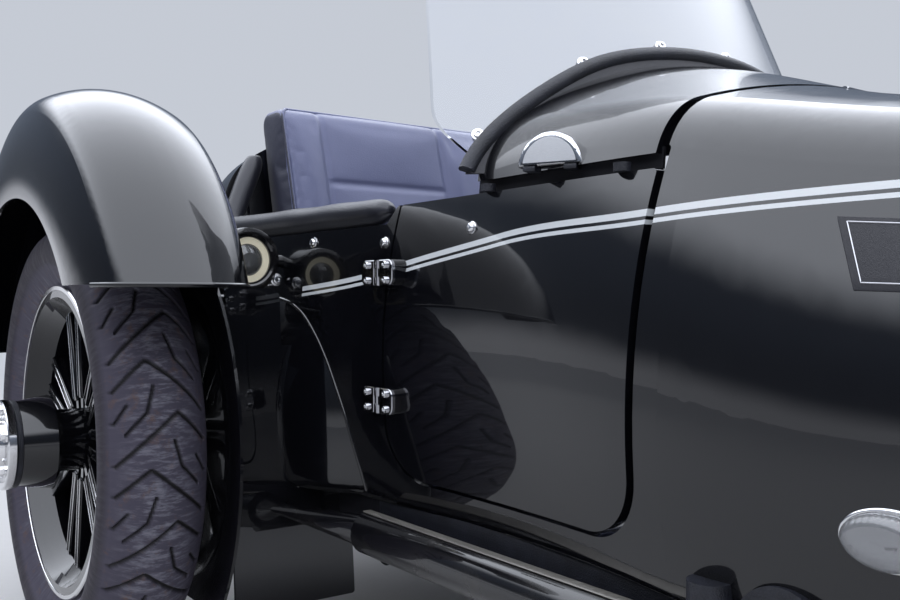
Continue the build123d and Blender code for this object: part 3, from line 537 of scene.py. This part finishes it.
# each vertex keeps how deep it is cut, which the tyre's finish uses to paint shade into the grooves
grooveLayer = tyreShape.verts.layers.float.new("groove")
segments = treadSegments()
pitches = round(2 * math.pi * tyre["radius"] / tyre["pitch"])
for vert in tyreShape.verts:
    away = vert.co - axle
    out = math.hypot(away.x, away.z)
    if out * 1000 < tyre["treadFrom"]:
        continue
    around = (math.atan2(away.z, away.x) / (2 * math.pi) * pitches % 1.0) * tyre["pitch"]
    across = math.asin(max(-1, min(1, away.y * 1000 / tyre["crownRadius"]))) * tyre["crownRadius"]
    cut = grooveAt(around, across, segments)
    if cut > 0:
        vert[grooveLayer] = cut
        inward = Vector((-away.x / out, 0, -away.z / out))
        vert.co += inward * cut * tyre["grooveDeep"] / 1000
keepPiece("tyre_tread", tyreShape, tyreRubber, "road_wheel", stands=["tyre"], sharp=50)
print("tyre made with", pitches, "groove pitches")

# wheel brightwork: machined rim lips and spoke faces, and the hub's flange with its bolts
wheelBright = {"lipInner": 213.5, "lipOuter": 221.2, "lipFace": 48.6, "lipSteps": 160, "spokePairs": 7,
               "spokeApart": 36, "splay": 5, "spokeFrom": 56, "spokeTo": 196, "ahead": 8, "faceY": 16.4,
               "spokeWide": 15, "spokeDeep": 16, "edgeWide": 1.1, "edgeThick": 1.2, "edgeIn": 1.4,
               "spokeBevel": 0.0028, "edgeBevel": 0.0003}
lips = bmesh.new()
inner, outer = wheelBright["lipInner"], wheelBright["lipOuter"]
for side in (-1, 1):
    face = side * wheelBright["lipFace"]
    turnedRing(lips, [(face - side * 2, inner), (face, inner + 1), (face, outer - 1.5), (face - side * 1.5, outer),
                      (face - side * 4, outer - 0.5)], axle, inboard, wheelBright["lipSteps"])
keepPiece("rim_lips", lips, steel, "road_wheel")

edges, bars = bmesh.new(), bmesh.new()
ahead = wheelBright["ahead"]
reach = (wheelBright["spokeFrom"] + wheelBright["spokeTo"]) / 2
spokeLong = wheelBright["spokeTo"] - wheelBright["spokeFrom"]
for pair in range(wheelBright["spokePairs"]):
    turn = Matrix.Rotation(-2 * math.pi * pair / wheelBright["spokePairs"], 4, "Y")
    for lean in (-1, 1):
        tilt = Matrix.Rotation(-math.radians(lean * wheelBright["splay"]), 4, "Y")
        apart = lean * wheelBright["spokeApart"] / 2
        out = Matrix.Translation(Vector((reach - ahead, 0, apart)) / 1000)
        root = Matrix.Translation(axle) @ turn @ out @ tilt
        block(bars, root @ Matrix.Translation((ahead / 1000, 0, 0)),
              (spokeLong, 2 * wheelBright["spokeDeep"], wheelBright["spokeWide"]))
        for edge in (-1, 1):
            offset = edge * (wheelBright["spokeWide"] / 2 - wheelBright["edgeIn"])
            block(edges, root @ Matrix.Translation(Vector((ahead, -wheelBright["faceY"], offset)) / 1000),
                  (spokeLong - ahead, wheelBright["edgeThick"], wheelBright["edgeWide"]))
bevelled(bars, bars.edges, wheelBright["spokeBevel"], 3)
keepPiece("spoke_bars", bars, blackPaint, "road_wheel")
bevelled(edges, edges.edges, wheelBright["edgeBevel"], 1)
keepPiece("spoke_edges", edges, steel, "road_wheel")

hub = {"flangeFrom": 111.4, "flangeTo": 123, "flangeRadius": 62, "capRadius": 30.6, "capEnd": 134.8, "bolts": 6,
       "boltTurn": 0.35, "boltCircle": 48, "boltRadius": 6.2, "boltHigh": 7, "washerRadius": 8.2,
       "ringFrom": 103, "ringTo": 110.6, "ringRadius": 60.5}
near, far, wide, tip = hub["flangeFrom"], hub["flangeTo"], hub["flangeRadius"], hub["capEnd"]
flange = bmesh.new()
turnedRing(flange, [(near, 55), (near, 61), (near + 1, wide), (far - 1.5, wide), (far, 60.4), (far, 39),
                    (far - 1, 36.5), (far - 2.5, 36)], axle, outboard)
turnedRing(flange, [(far - 2, 24), (far - 2, 35), (far + 1, 34.4), (tip - 3, hub["capRadius"]), (tip, 27),
                    (tip + 0.8, 12), (tip + 1, 0.4)], axle, outboard)
for bolt in range(hub["bolts"]):
    turn = 2 * math.pi * (bolt + hub["boltTurn"]) / hub["bolts"]
    foot = Vector((math.cos(turn) * hub["boltCircle"], -far, math.sin(turn) * hub["boltCircle"])) / 1000
    matrix = standing(axle + foot, outboard)
    disc(flange, matrix, hub["washerRadius"] / 1000, -0.001, 0.0012, chamfer=0.0004)
    disc(flange, matrix, hub["boltRadius"] / 1000, 0.0011, hub["boltHigh"] / 1000, sides=6, chamfer=0.0009)
keepPiece("hub_flange", flange, steel, "road_wheel")
near, far, wide = hub["ringFrom"], hub["ringTo"], hub["ringRadius"]
ring = bmesh.new()
turnedRing(ring, [(near, 56), (near, 59.5), (near + 1, wide), (far - 1, wide), (far, 59.5), (far, 56)], axle,
           outboard)
keepPiece("hub_ring", ring, rubber, "road_wheel")
print("wheel brightwork made")

# fender: a rolled bead along its front and rear edges, laid on the shell by looking in from outside
lip = {"middleY": -6, "ends": (("front_bead", 345, 537.5, 0), ("rear_bead", -335, 430.5, 180)), "spread": 86,
       "step": 6.6, "radius": 0.0030, "sunk": 0.0012, "lowered": 0.001}
fenderTree = treeOf("fender")
for name, x, z, facing in lip["ends"]:
    heart = at(x, lip["middleY"], z)
    points = []
    turn = -lip["spread"]
    while turn <= lip["spread"] + 0.1:
        angle = math.radians(facing + turn)
        way = Vector((math.cos(angle), math.sin(angle), 0))
        place, _ = struck(fenderTree, heart + way * 0.5, -way)
        if place is not None:
            points.append(place - way * lip["sunk"] - Vector((0, 0, lip["lowered"])))
        turn += lip["step"]
    tube(name, points, lip["radius"], blackPaint)
print("fender beads laid")

# bead along the crease where the hip bulge, part of a ball, leaves the body's side
crease = {"middle": (190, 335), "from": -20, "to": 112, "step": 6, "outFrom": 120.0, "outTo": 330,
          "ball": 385, "reach": 425, "proud": 0.0006, "radius": 0.0021}
tubTree = treeOf("body_tub")
creasePoints = []
for turn in range(crease["from"], crease["to"], crease["step"]):
    out = crease["outFrom"]
    while out < crease["outTo"]:
        x = crease["middle"][0] + out * math.cos(math.radians(turn))
        z = crease["middle"][1] + out * math.sin(math.radians(turn))
        deep = crease["ball"] - math.sqrt(crease["ball"] ** 2 - out ** 2)
        ballY = drawing["bodyMiddle"] - crease["reach"] + deep
        place, _ = beside(tubTree, x, z)
        if place is not None and at(0, ballY, 0).y - place.y > crease["proud"]:
            creasePoints.append(place)
            break
        out += 1.0
tube("crease_bead", creasePoints, crease["radius"], framePaint)
print("crease bead follows", len(creasePoints), "points")

# hinges: dark plates on painted pads, with bolts beside their knuckles
hinge = {"x": 470, "faceY": 196.5, "heights": (402, 552), "plateThick": 4.5, "boltOut": 20, "boltUp": 9,
         "boltRadius": 0.0043, "boltHigh": 0.0034, "hexRadius": 0.0022}
darkChrome = Shader("dark_chrome", metallic=1.0)
darkChrome.set(baseColor=darkChrome.mix(darkChrome.noise(90, 3.0), (0.30, 0.30, 0.32), (0.46, 0.46, 0.48)),
               roughness=darkChrome.between(darkChrome.noise(260, 4.0), 0.3, 0.8, 0.07, 0.22))
for name, node, body in (("base", "door_hinge_bases", "sidecar"), ("leaf", "door_hinge_leaves", "side_door")):
    for part, deep, shader, slot, stands in (("plates", -1, darkChrome, "polished_steel", [node]),
                                             ("pads", 1, blackPaint, "black_paint", ())):
        half = merged(node)
        cutBack(half, at(0, hinge["faceY"] + hinge["plateThick"], 0), (0, -deep, 0))
        keepPiece(name + "_" + part, half, shader, body, stands=stands, sharp=25)
for name, side, body in (("base_bolts", -1, "sidecar"), ("leaf_bolts", 1, "side_door")):
    bolts = bmesh.new()
    for height in hinge["heights"]:
        for up in (-1, 1):
            place = at(hinge["x"] + side * hinge["boltOut"], hinge["faceY"], height + up * hinge["boltUp"])
            socketHead(bolts, place, outboard, hinge["boltRadius"], hinge["boltHigh"], hinge["hexRadius"])
    keepPiece(name, bolts, steel, body)

# snap studs and glass screws, placed where the photograph's frame shows them; two screws have a mirror image
fixings = {"studs": (("tub_studs", ((314, 243), (385, 243)), "sidecar"), ("door_stud", ((472, 228),), "side_door")),
           "studRadius": 0.0074, "studSteps": ((1, 1, -0.001, 0.0014, 0.0006), (0.62, 0.56, 0.0013, 0.0034, 0.0010),
                                               (0.68, 0.60, 0.0033, 0.0050, 0.0012)),
           "glassScrews": ((478, 135), (583, 63), (660, 47), (725, 58)), "mirrored": 2,
           "glassThick": 0.0046, "washer": (0.0075, -0.0002, 0.0016), "washerChamfer": 0.0005,
           "headFoot": 0.0015, "head": (0.0052, 0.0034, 0.0025), "nut": (0.0068, 0, 0.0045), "nutChamfer": 0.0006}
wide = fixings["studRadius"]
for name, places, body in fixings["studs"]:
    studs = bmesh.new()
    for across, down in places:
        matrix = standing(*seen(sideTree, across, down))
        for foot, head, bottom, top, chamfer in fixings["studSteps"]:
            disc(studs, matrix, wide * foot, bottom, top, upperRadius=wide * head, chamfer=chamfer)
    keepPiece(name, studs, steel, body)

glassTree = treeOf("windscreen")
screws = bmesh.new()
screwPlaces = [seen(glassTree, across, down) for across, down in fixings["glassScrews"]]
middleY = at(0, drawing["bodyMiddle"], 0).y
for place, normal in screwPlaces[:fixings["mirrored"]]:
    twin = Vector((place.x, 2 * middleY - place.y, place.z))
    screwPlaces.append((twin, Vector((normal.x, -normal.y, normal.z))))
for place, normal in screwPlaces:
    disc(screws, standing(place, normal), *fixings["washer"], chamfer=fixings["washerChamfer"])
    socketHead(screws, place + normal * fixings["headFoot"], normal, *fixings["head"])
    disc(screws, standing(place - normal * fixings["glassThick"], -normal), *fixings["nut"], sides=6,
         chamfer=fixings["nutChamfer"])
keepPiece("glass_screws", screws, steel, "tilting_cowl")
print("hinge bolts, studs and screws placed")

# half-moon catch: a bare brushed plate inside its bright bevelled rim, on two dark feet
catch = {"place": (745, 221, 649), "turn": 27, "radius": 33, "deep": 22, "bevel": 4.4, "plateRadius": 27.2,
         "plateHigh": 0.5, "plateFoot": 3.4, "plateBevel": 0.2, "feet": ((-21, -2, -9), (21, -2, -9)),
         "footSize": (13, 5, 18), "footBevel": 0.001}
catchMatrix = (Matrix.Translation(at(*catch["place"])) @ Matrix.Rotation(math.radians(catch["turn"]), 4, "Z")
               @ Matrix.Rotation(math.pi / 2, 4, "X"))


def halfDisc(radius, bottom, top, foot, bevel):
    # the upper half of a disc along the catch's own axis, its front rim bevelled; all in millimetres
    made = bmesh.new()
    bmesh.ops.create_cone(made, cap_ends=True, segments=96, radius1=radius / 1000, radius2=radius / 1000,
                          depth=(top - bottom) / 1000, matrix=Matrix.Translation((0, 0, (top + bottom) / 2000)))
    cutBack(made, (0, foot / 1000, 0), (0, -1, 0))
    rim = [edge for edge in made.edges if all(abs(vert.co.z - top / 1000) < 1e-6 for vert in edge.verts)]
    bevelled(made, rim, bevel / 1000, 3)
    bmesh.ops.transform(made, matrix=catchMatrix, verts=made.verts)
    return made


keepPiece("catch_body", halfDisc(catch["radius"], -catch["deep"], 0, 0, catch["bevel"]), steel,
          "tilting_cowl", stands=["cowl_catch"], sharp=30)
brushed = Shader("brushed_plate", metallic=0.1)
strokes = brushed.noise(300, 3.0, where=brushed.stretched((1, 1, 14)))
brushed.set(baseColor=brushed.mix(strokes, (0.50, 0.52, 0.56), (0.78, 0.80, 0.84)),
            roughness=brushed.between(strokes, 0.3, 0.7, 0.30, 0.46))
brushed.bump(strokes, 0.00004, 0.4)
plateShape = halfDisc(catch["plateRadius"], -1, catch["plateHigh"], catch["plateFoot"], catch["plateBevel"])
keepPiece("catch_plate", plateShape, brushed, "tilting_cowl", sharp=30)
feet = bmesh.new()
for foot in catch["feet"]:
    block(feet, catchMatrix @ Matrix.Translation(Vector(foot) / 1000), catch["footSize"])
bevelled(feet, feet.edges, catch["footBevel"])
keepPiece("catch_feet", feet, rubber, "tilting_cowl")

# a dark rubber band under the cowl's edge, painted shade that stands in for the shadow in the gap over the door;
# and the sill strip's rear end, in the same darkened rubber
shadeBand = {"from": 604, "to": 880, "step": 20, "doorZ": 630, "inside": 16, "bottom": 634.6, "top": 654, "lean": 0.002,
        "thick": 3}
band = bmesh.new()
foot = []
for step in range(int((shadeBand["to"] - shadeBand["from"]) / shadeBand["step"]) + 1):
    place, _ = beside(sideTree, shadeBand["from"] + shadeBand["step"] * step, shadeBand["doorZ"])
    foot.append(band.verts.new((place.x, place.y + shadeBand["inside"] / 1000, at(0, 0, shadeBand["bottom"]).z)))
runs = [band.edges.new(pair) for pair in zip(foot, foot[1:])]
raised = bmesh.ops.extrude_edge_only(band, edges=runs)["geom"]
bmesh.ops.translate(band, verts=[item for item in raised if isinstance(item, bmesh.types.BMVert)],
                    vec=(0, shadeBand["lean"], (shadeBand["top"] - shadeBand["bottom"]) / 1000))
bmesh.ops.solidify(band, geom=band.faces[:], thickness=shadeBand["thick"] / 1000)
keepPiece("cowl_shade_band", band, shadedRubber, "tilting_cowl")
stripEnd = {"low": (318, 232.4, 236), "high": (422, 239.6, 281)}
low, high = Vector(stripEnd["low"]), Vector(stripEnd["high"])
flap = bmesh.new()
block(flap, Matrix.Translation(at(*(low + high) / 2)), high - low)
bevelled(flap, flap.edges, 0.0012)
keepPiece("sill_flap", flap, shadedRubber)

# round lamp: dark bezel lip round the glass, and the bracket's bolt
lampLook = {"x": 216, "y": 150, "z": 575, "bezel": ((214, 33), (217.5, 33.5), (219.5, 36), (219.5, 40),
                                                    (217.5, 43.4), (213, 44.6), (206, 44.8), (206, 43)),
            "bolt": (-4, 40, -27), "boss": (0.009, -0.012, 0.006), "bossChamfer": 0.001,
            "head": (0.0062, 0.004, 0.003)}
bezel = bmesh.new()
turnedRing(bezel, lampLook["bezel"], at(0, lampLook["y"], lampLook["z"]), forward)
keepPiece("lamp_bezel", bezel, framePaint)
clip = bmesh.new()
clipPlace = at(*(lampLook[name] + shift for name, shift in zip("xyz", lampLook["bolt"])))
disc(clip, standing(clipPlace, forward), *lampLook["boss"], chamfer=lampLook["bossChamfer"])
socketHead(clip, clipPlace + forward * lampLook["boss"][2], forward, *lampLook["head"])
keepPiece("lamp_bolt", clip, steel)

# marker lamp's rim, which follows the nose's side
marker = {"x": 1088, "z": 360, "long": 33.5, "high": 20.5, "radius": 0.0021, "proud": 0.0006, "points": 20}
rimPoints = []
for step in range(marker["points"]):
    turn = 2 * math.pi * step / marker["points"]
    place, normal = beside(sideTree, marker["x"] + marker["long"] * math.cos(turn),
                           marker["z"] + marker["high"] * math.sin(turn))
    rimPoints.append(place + normal * marker["proud"])
tube("marker_rim", rimPoints, marker["radius"], steel, closed=True)

# bare plate on the nose, by its place in the frame: a dark panel with a fine pale line round its edge
plateLook = {"left": 846, "right": 968, "top": 217, "bottom": 288, "slant": 16, "drop": 4, "across": 10, "down": 6,
             "proud": 0.0012, "thick": 0.002, "lines": 0.0007, "inset": 0.07}


def platePlace(across, down):
    # a place on the plate, from 0 to 1 both ways, laid on the nose and a little proud of it
    px = plateLook["left"] + (plateLook["right"] - plateLook["left"]) * across + plateLook["slant"] * (down - 0.5)
    py = plateLook["top"] + (plateLook["bottom"] - plateLook["top"]) * down + plateLook["drop"] * across
    place, normal = seen(sideTree, px, py)
    return place + normal * plateLook["proud"]


panel = bmesh.new()
bmesh.ops.create_grid(panel, x_segments=plateLook["across"], y_segments=plateLook["down"], size=0.5)
for vert in panel.verts:
    vert.co = platePlace(vert.co.x + 0.5, 0.5 - vert.co.y)
bmesh.ops.solidify(panel, geom=panel.faces[:], thickness=plateLook["thick"])
keepPiece("name_plate", panel, texturedBlack)
low, high = plateLook["inset"], 1 - plateLook["inset"]  # each corner is given twice, which keeps it tight
border = [(low, low), (low, low), (0.5, low), (high, low), (high, low), (high, 0.5), (high, high), (high, high),
          (0.5, high), (low, high), (low, high), (low, 0.5)]
tube("plate_border", [platePlace(x, y) for x, y in border], plateLook["lines"], darkChrome,
     closed=True)

# pale trim strip along the outer rail's top
strip = {"from": 441, "to": 1148, "y": 201, "top": 266.2, "wide": 11, "thick": 1.8}
trim = bmesh.new()
block(trim, Matrix.Translation(at((strip["from"] + strip["to"]) / 2, strip["y"], strip["top"])),
      (strip["to"] - strip["from"], strip["wide"], strip["thick"]))
bevelled(trim, trim.edges, 0.0006)
trimMetal = Shader("trim_metal", metallic=0.75)
trimMetal.set(baseColor=trimMetal.mix(trimMetal.noise(60, 4.0), (0.42, 0.40, 0.37), (0.56, 0.54, 0.50)),
              roughness=trimMetal.between(trimMetal.noise(180), 0.3, 0.7, 0.32, 0.5))
keepPiece("rail_trim", trim, trimMetal)
print("catch, lamps and trim made")

# padded seat: each pad starts a little small, is blown up between its sewn seams and then gets its stitches
pads = {"voxel": 0.006, "frames": 20, "pressure": 4.0, "stiff": 18, "bend": 1.5, "shrink": 0.003, "cap": 0.013,
        "seamPin": 0.0045, "seamDeep": 0.0050, "seamWide": 0.0040, "sewnSide": 0.35, "restSide": 0.9,
        "pipeProud": 0.0012}


def seamGap(place, lines):
    # how far a place is from the nearest seam, each a straight line from one end to the other
    nearest = 1.0
    for start, end in lines:
        way = end - start
        share = max(0.0, min(1.0, (place - start).dot(way) / way.length_squared))
        nearest = min(nearest, (place - start - way * share).length)
    return nearest


def shown(obj):
    # the mesh that an object shows, with its modifiers applied
    return bpy.data.meshes.new_from_object(obj.evaluated_get(bpy.context.evaluated_depsgraph_get()))


def settled(obj):
    # the same mesh, given to the object in place of its modifiers
    done = shown(obj)
    obj.modifiers.clear()
    old, obj.data = obj.data, done
    bpy.data.meshes.remove(old)
    return done


def pad(name, node, facing, seams, resting):
    # a crowned cushion from its solid: facing is the way its sewn face looks, resting the ways it lies against
    shape = merged(node)
    shape.normal_update()
    for vert in shape.verts:
        vert.co -= vert.normal * pads["shrink"]
    obj = linked(name, meshOf(name, shape))
    remesh = obj.modifiers.new("Even", "REMESH")
    remesh.mode = "VOXEL"
    remesh.voxel_size = pads["voxel"]
    data = settled(obj)
    start = [vert.co.copy() for vert in data.vertices]
    faces = [vert.normal.dot(facing) for vert in data.vertices]
    # seams act on the sewn face alone, and are measured in its own plane
    flat = [(a - facing * a.dot(facing), b - facing * b.dot(facing)) for a, b in seams]
    gaps = [seamGap(co - facing * co.dot(facing), flat) if side > pads["sewnSide"] else 1.0
            for co, side in zip(start, faces)]
    group = obj.vertex_groups.new(name="sewn")
    for index, gap in enumerate(gaps):
        held = any(data.vertices[index].normal.dot(way) > pads["restSide"] for way in resting)
        if gap < pads["seamPin"] or held:
            group.add([index], 1.0, "REPLACE")
    cloth = obj.modifiers.new("Filling", "CLOTH")
    cloth.settings.vertex_group_mass = group.name
    cloth.settings.use_pressure = True
    cloth.settings.uniform_pressure_force = pads["pressure"]
    cloth.settings.effector_weights.gravity = 0
    cloth.settings.tension_stiffness = cloth.settings.compression_stiffness = pads["stiff"]
    cloth.settings.bending_stiffness = pads["bend"]
    for step in range(1, pads["frames"] + 1):
        bpy.context.scene.frame_set(step)
    data = settled(obj)
    bpy.context.scene.frame_set(1)
    obj.vertex_groups.clear()
    for vert, first, gap in zip(data.vertices, start, gaps):
        moved = vert.co - first
        for way in resting:
            moved -= way * max(0.0, moved.dot(way))
        if moved.length > pads["cap"]:
            moved *= pads["cap"] / moved.length
        vert.co = first + moved
        vert.co -= facing * pads["seamDeep"] * math.exp(-(gap / pads["seamWide"]) ** 2)
    data.polygons.foreach_set("use_smooth", [True] * len(data.polygons))
    finer = obj.modifiers.new("Finer", "SUBSURF")
    finer.levels = finer.render_levels = 1
    data = settled(obj)
    data.materials.append(greyVinyl.material)
    keepObject(obj, stands=[node])
    made = bmesh.new()
    made.from_mesh(data)
    tree = BVHTree.FromBMesh(made)
    made.free()
    return tree


def sewnLoop(tree, facing, across, up, corners, radius, steps=6):
    # places on a pad's face round a rounded rectangle, seen along the way that the face looks
    (left, right), (bottom, top) = corners
    made = []
    for turn, (x, y) in enumerate(((right, top), (left, top), (left, bottom), (right, bottom))):
        centreX = x - radius if x == right else x + radius
        centreY = y - radius if y == top else y + radius
        for step in range(steps + 1):
            angle = math.pi / 2 * (turn + step / steps)
            spot = across * (centreX + radius * math.cos(angle)) + up * (centreY + radius * math.sin(angle))
            place, normal, _, _ = tree.ray_cast(spot + facing * 2, -facing)
            if place is not None:
                made.append(place + normal * pads["pipeProud"])
    return made


seat = {"leanBack": 13.5, "faceLean": 15.8, "faceX": -4, "seams": (408, 659), "crossSeam": 708, "left": 336,
        "right": 824, "foot": 446, "head": 842, "corner": 26, "pipe": 0.0028, "cushionTop": 430, "cushionRear": 62,
        "cushionFront": 386, "cushionSeam": 250, "fill": 0.75}
rearward = Vector((-1, 0, 0))


def leaning(degrees):
    # the way that a face looks when it leans back from upright
    return Vector((math.cos(math.radians(degrees)), 0, math.sin(math.radians(degrees))))


def faceXAt(z):
    # how far forward the seat back's face stands at a height
    return seat["faceX"] - (z - seat["cushionTop"]) * math.tan(math.radians(seat["faceLean"]))


def piping(name, tree, facing, across, up, corners):
    tube(name, sewnLoop(tree, facing, across, up, corners, seat["corner"] / 1000), seat["pipe"], greyVinyl,
         closed=True)


face = leaning(seat["faceLean"])
rise = leaning(seat["faceLean"] + 90)
seams = [(at(seat["faceX"], y, 0) - rise, at(seat["faceX"], y, 0) + rise * 2) for y in seat["seams"]]
seams.append(tuple(at(faceXAt(seat["crossSeam"]), y, seat["crossSeam"]) for y in seat["seams"]))
backTree = pad("seat_back_pad", "seat_back", face, seams, [-leaning(seat["leanBack"]), -upright])
heights = [at(faceXAt(z), 0, z).dot(rise) for z in (seat["foot"], seat["head"])]
sides = [at(0, y, 0).y for y in (seat["left"], seat["right"])]
piping("back_piping", backTree, face, inboard, rise, (sides, heights))

flatSeams = [(at(0, y, 0) - forward, at(0, y, 0) + forward) for y in seat["seams"]]
flatSeams.append(tuple(at(seat["cushionSeam"], y, 0) for y in seat["seams"]))
cushionTree = pad("seat_cushion_pad", "seat_base", upright, flatSeams, [-upright, rearward])
lengths = [-at(x, 0, 0).x for x in (seat["cushionFront"], seat["cushionRear"])]
piping("cushion_piping", cushionTree, upright, inboard, rearward, (sides, lengths))
print("seat pads sewn")

# padded rolls on the cockpit's rims: a soft tube that narrows at its front end, with a seam along its outer side
roll = {"half": 338, "front": 433, "height": 630.3, "radius": 17.7, "topHalf": 272, "top": 770, "foot": (-50, 430),
        "ahead": 18.8, "narrow": (0.30, 0.72, 0.93), "narrowAt": (0, 7, 20), "along": (395, 360, 300, 220, 120, 40),
        "climb": (0.16, 0.45, 0.75), "fuller": 0.24, "seamAngle": -38, "seamWide": 9, "seamDeep": 0.0018,
        "soft": 0.0011, "heel": 24, "bend": (4, 10, 1.15), "tip": 6, "tipWide": (0.9, 0.45),
        "curve": {"sides": 14, "order": 4, "steps": 10}}


def wallX(z):
    # how far forward a roll stands on the wall behind the seat
    return roll["foot"][0] + roll["ahead"] - (z - roll["foot"][1]) * math.tan(math.radians(seat["leanBack"]))


made = bmesh.new()
random.seed(11)
for side in (-1, 1):
    y = drawing["bodyMiddle"] + side * roll["half"]
    topY = drawing["bodyMiddle"] + side * roll["topHalf"]
    low, high = wallX(roll["height"]), wallX(roll["top"])
    route = [(roll["front"] - away, y, roll["height"], narrow)
             for away, narrow in zip(roll["narrowAt"], roll["narrow"])]
    for x in (*roll["along"], low + roll["heel"]):
        grown = roll["fuller"] * (roll["along"][0] - x) / (roll["along"][0] - low)
        route.append((x, y, roll["height"] + roll["radius"] * grown, 1 + grown))
    forth, up, swell = roll["bend"]
    route.append((low + forth, y, roll["height"] + up, swell))
    for share in roll["climb"]:
        route.append((low + (high - low) * share, y + (topY - y) * share,
                      roll["height"] + (roll["top"] - roll["height"]) * share, 1.0))
    route += [(high, topY, roll["top"] - down, narrow) for down, narrow in zip((roll["tip"], 0), roll["tipWide"])]
    places = [(at(*spot), narrow) for *spot, narrow in route]
    tubeObject = bentTube("roll", places, roll["radius"] / 1000, **roll["curve"])
    made.from_mesh(shown(tubeObject))
    bpy.data.objects.remove(tubeObject)
bmesh.ops.remove_doubles(made, verts=made.verts, dist=0.00005)
waves = [(random.uniform(18, 60), random.uniform(0, 6.28)) for _ in range(5)]
made.normal_update()
for vert in made.verts:
    side = -1 if vert.co.y < at(0, drawing["bodyMiddle"], 0).y else 1
    soft = sum(math.sin(vert.co.x * rate + vert.co.z * rate * 0.7 + shift) for rate, shift in waves) / len(waves)
    around = math.degrees(math.atan2(vert.normal.z, side * vert.normal.y))
    gap = (around - roll["seamAngle"]) / roll["seamWide"]
    vert.co += vert.normal * (soft * roll["soft"] - roll["seamDeep"] * math.exp(-gap * gap))
rolls = keepPiece("rim_rolls", made, blackVinyl, stands=["armrest_rolls"], sharp=70)
print("rolls padded")

# plain pale studio, seen from where the photograph was taken
studio = {"ground": -0.232, "floorWide": 12, "floorTones": ((0.77, 0.77, 0.78), (0.82, 0.82, 0.83)),
          "backdrop": (0.66, 0.70, 0.78), "strength": 0.85, "glossy": 3.0,
          "levels": ((0.0, (0.30, 0.31, 0.34)), (0.10, (0.035, 0.04, 0.05)), (0.36, (0.05, 0.06, 0.08)),
                     (0.58, (0.98, 1.03, 1.14))),
          "lamps": (("overhead", (0.6, -1.6, 3.2), (0.3, -0.5, 0.3), (2.5, 1.5), 22),
                    ("front", (3.2, -2.6, 1.8), (0.3, -0.6, 0.3), (1.5, 2.0), 18),
                    ("rear", (-2.6, -2.6, 1.8), (0, -0.6, 0.3), (1.5, 2.0), 14))}
ground = bmesh.new()
bmesh.ops.create_grid(ground, x_segments=1, y_segments=1, size=studio["floorWide"],
                      matrix=Matrix.Translation((0, 0, studio["ground"])))
floorFinish = Shader("floor", roughness=0.85, specularIorLevel=0.2)
floorFinish.set(baseColor=floorFinish.mix(floorFinish.noise(60, 4.0), *studio["floorTones"]))
floor = linked("floor", meshOf("floor", ground))
floor.data.materials.append(floorFinish.material)

# the camera and glass see a plain backdrop, and shiny pieces a bright soft panel overhead
sky = Shader("studio", world=True)
toCamera, throughGlass, mirrored = (sky.node("ShaderNodeLightPath", out="Is " + kind + " Ray")
                                    for kind in ("Camera", "Transmission", "Glossy"))
direct = sky.node("ShaderNodeMath", {"operation": "MAXIMUM"}, {0: toCamera, 1: throughGlass})
sky.set(color=sky.mix(direct, sky.ramp(sky.axis("Z"), studio["levels"], "EASE"), studio["backdrop"]),
        strength=sky.between(mirrored - throughGlass, 0.0, 1.0, studio["strength"], studio["glossy"]))
bpy.context.scene.world = sky.material

for name, place, aim, size, power in studio["lamps"]:
    data = bpy.data.lights.new(name, "AREA")
    data.shape = "RECTANGLE"
    data.size, data.size_y = size
    data.energy = power
    obj = linked(name, data)
    obj.location = place
    obj.rotation_euler = (Vector(aim) - Vector(place)).to_track_quat("-Z", "Y").to_euler()
    obj.visible_glossy = False

eye = bpy.data.cameras.new("camera")
eye.lens = camera["lens"]
eyeObject = linked("camera", eye)
eyeObject.location = camera["place"]
eyeObject.rotation_euler = (math.radians(90), 0, math.radians(camera["turn"]))
bpy.context.scene.camera = eyeObject
bpy.context.scene.view_settings.view_transform = "Standard"
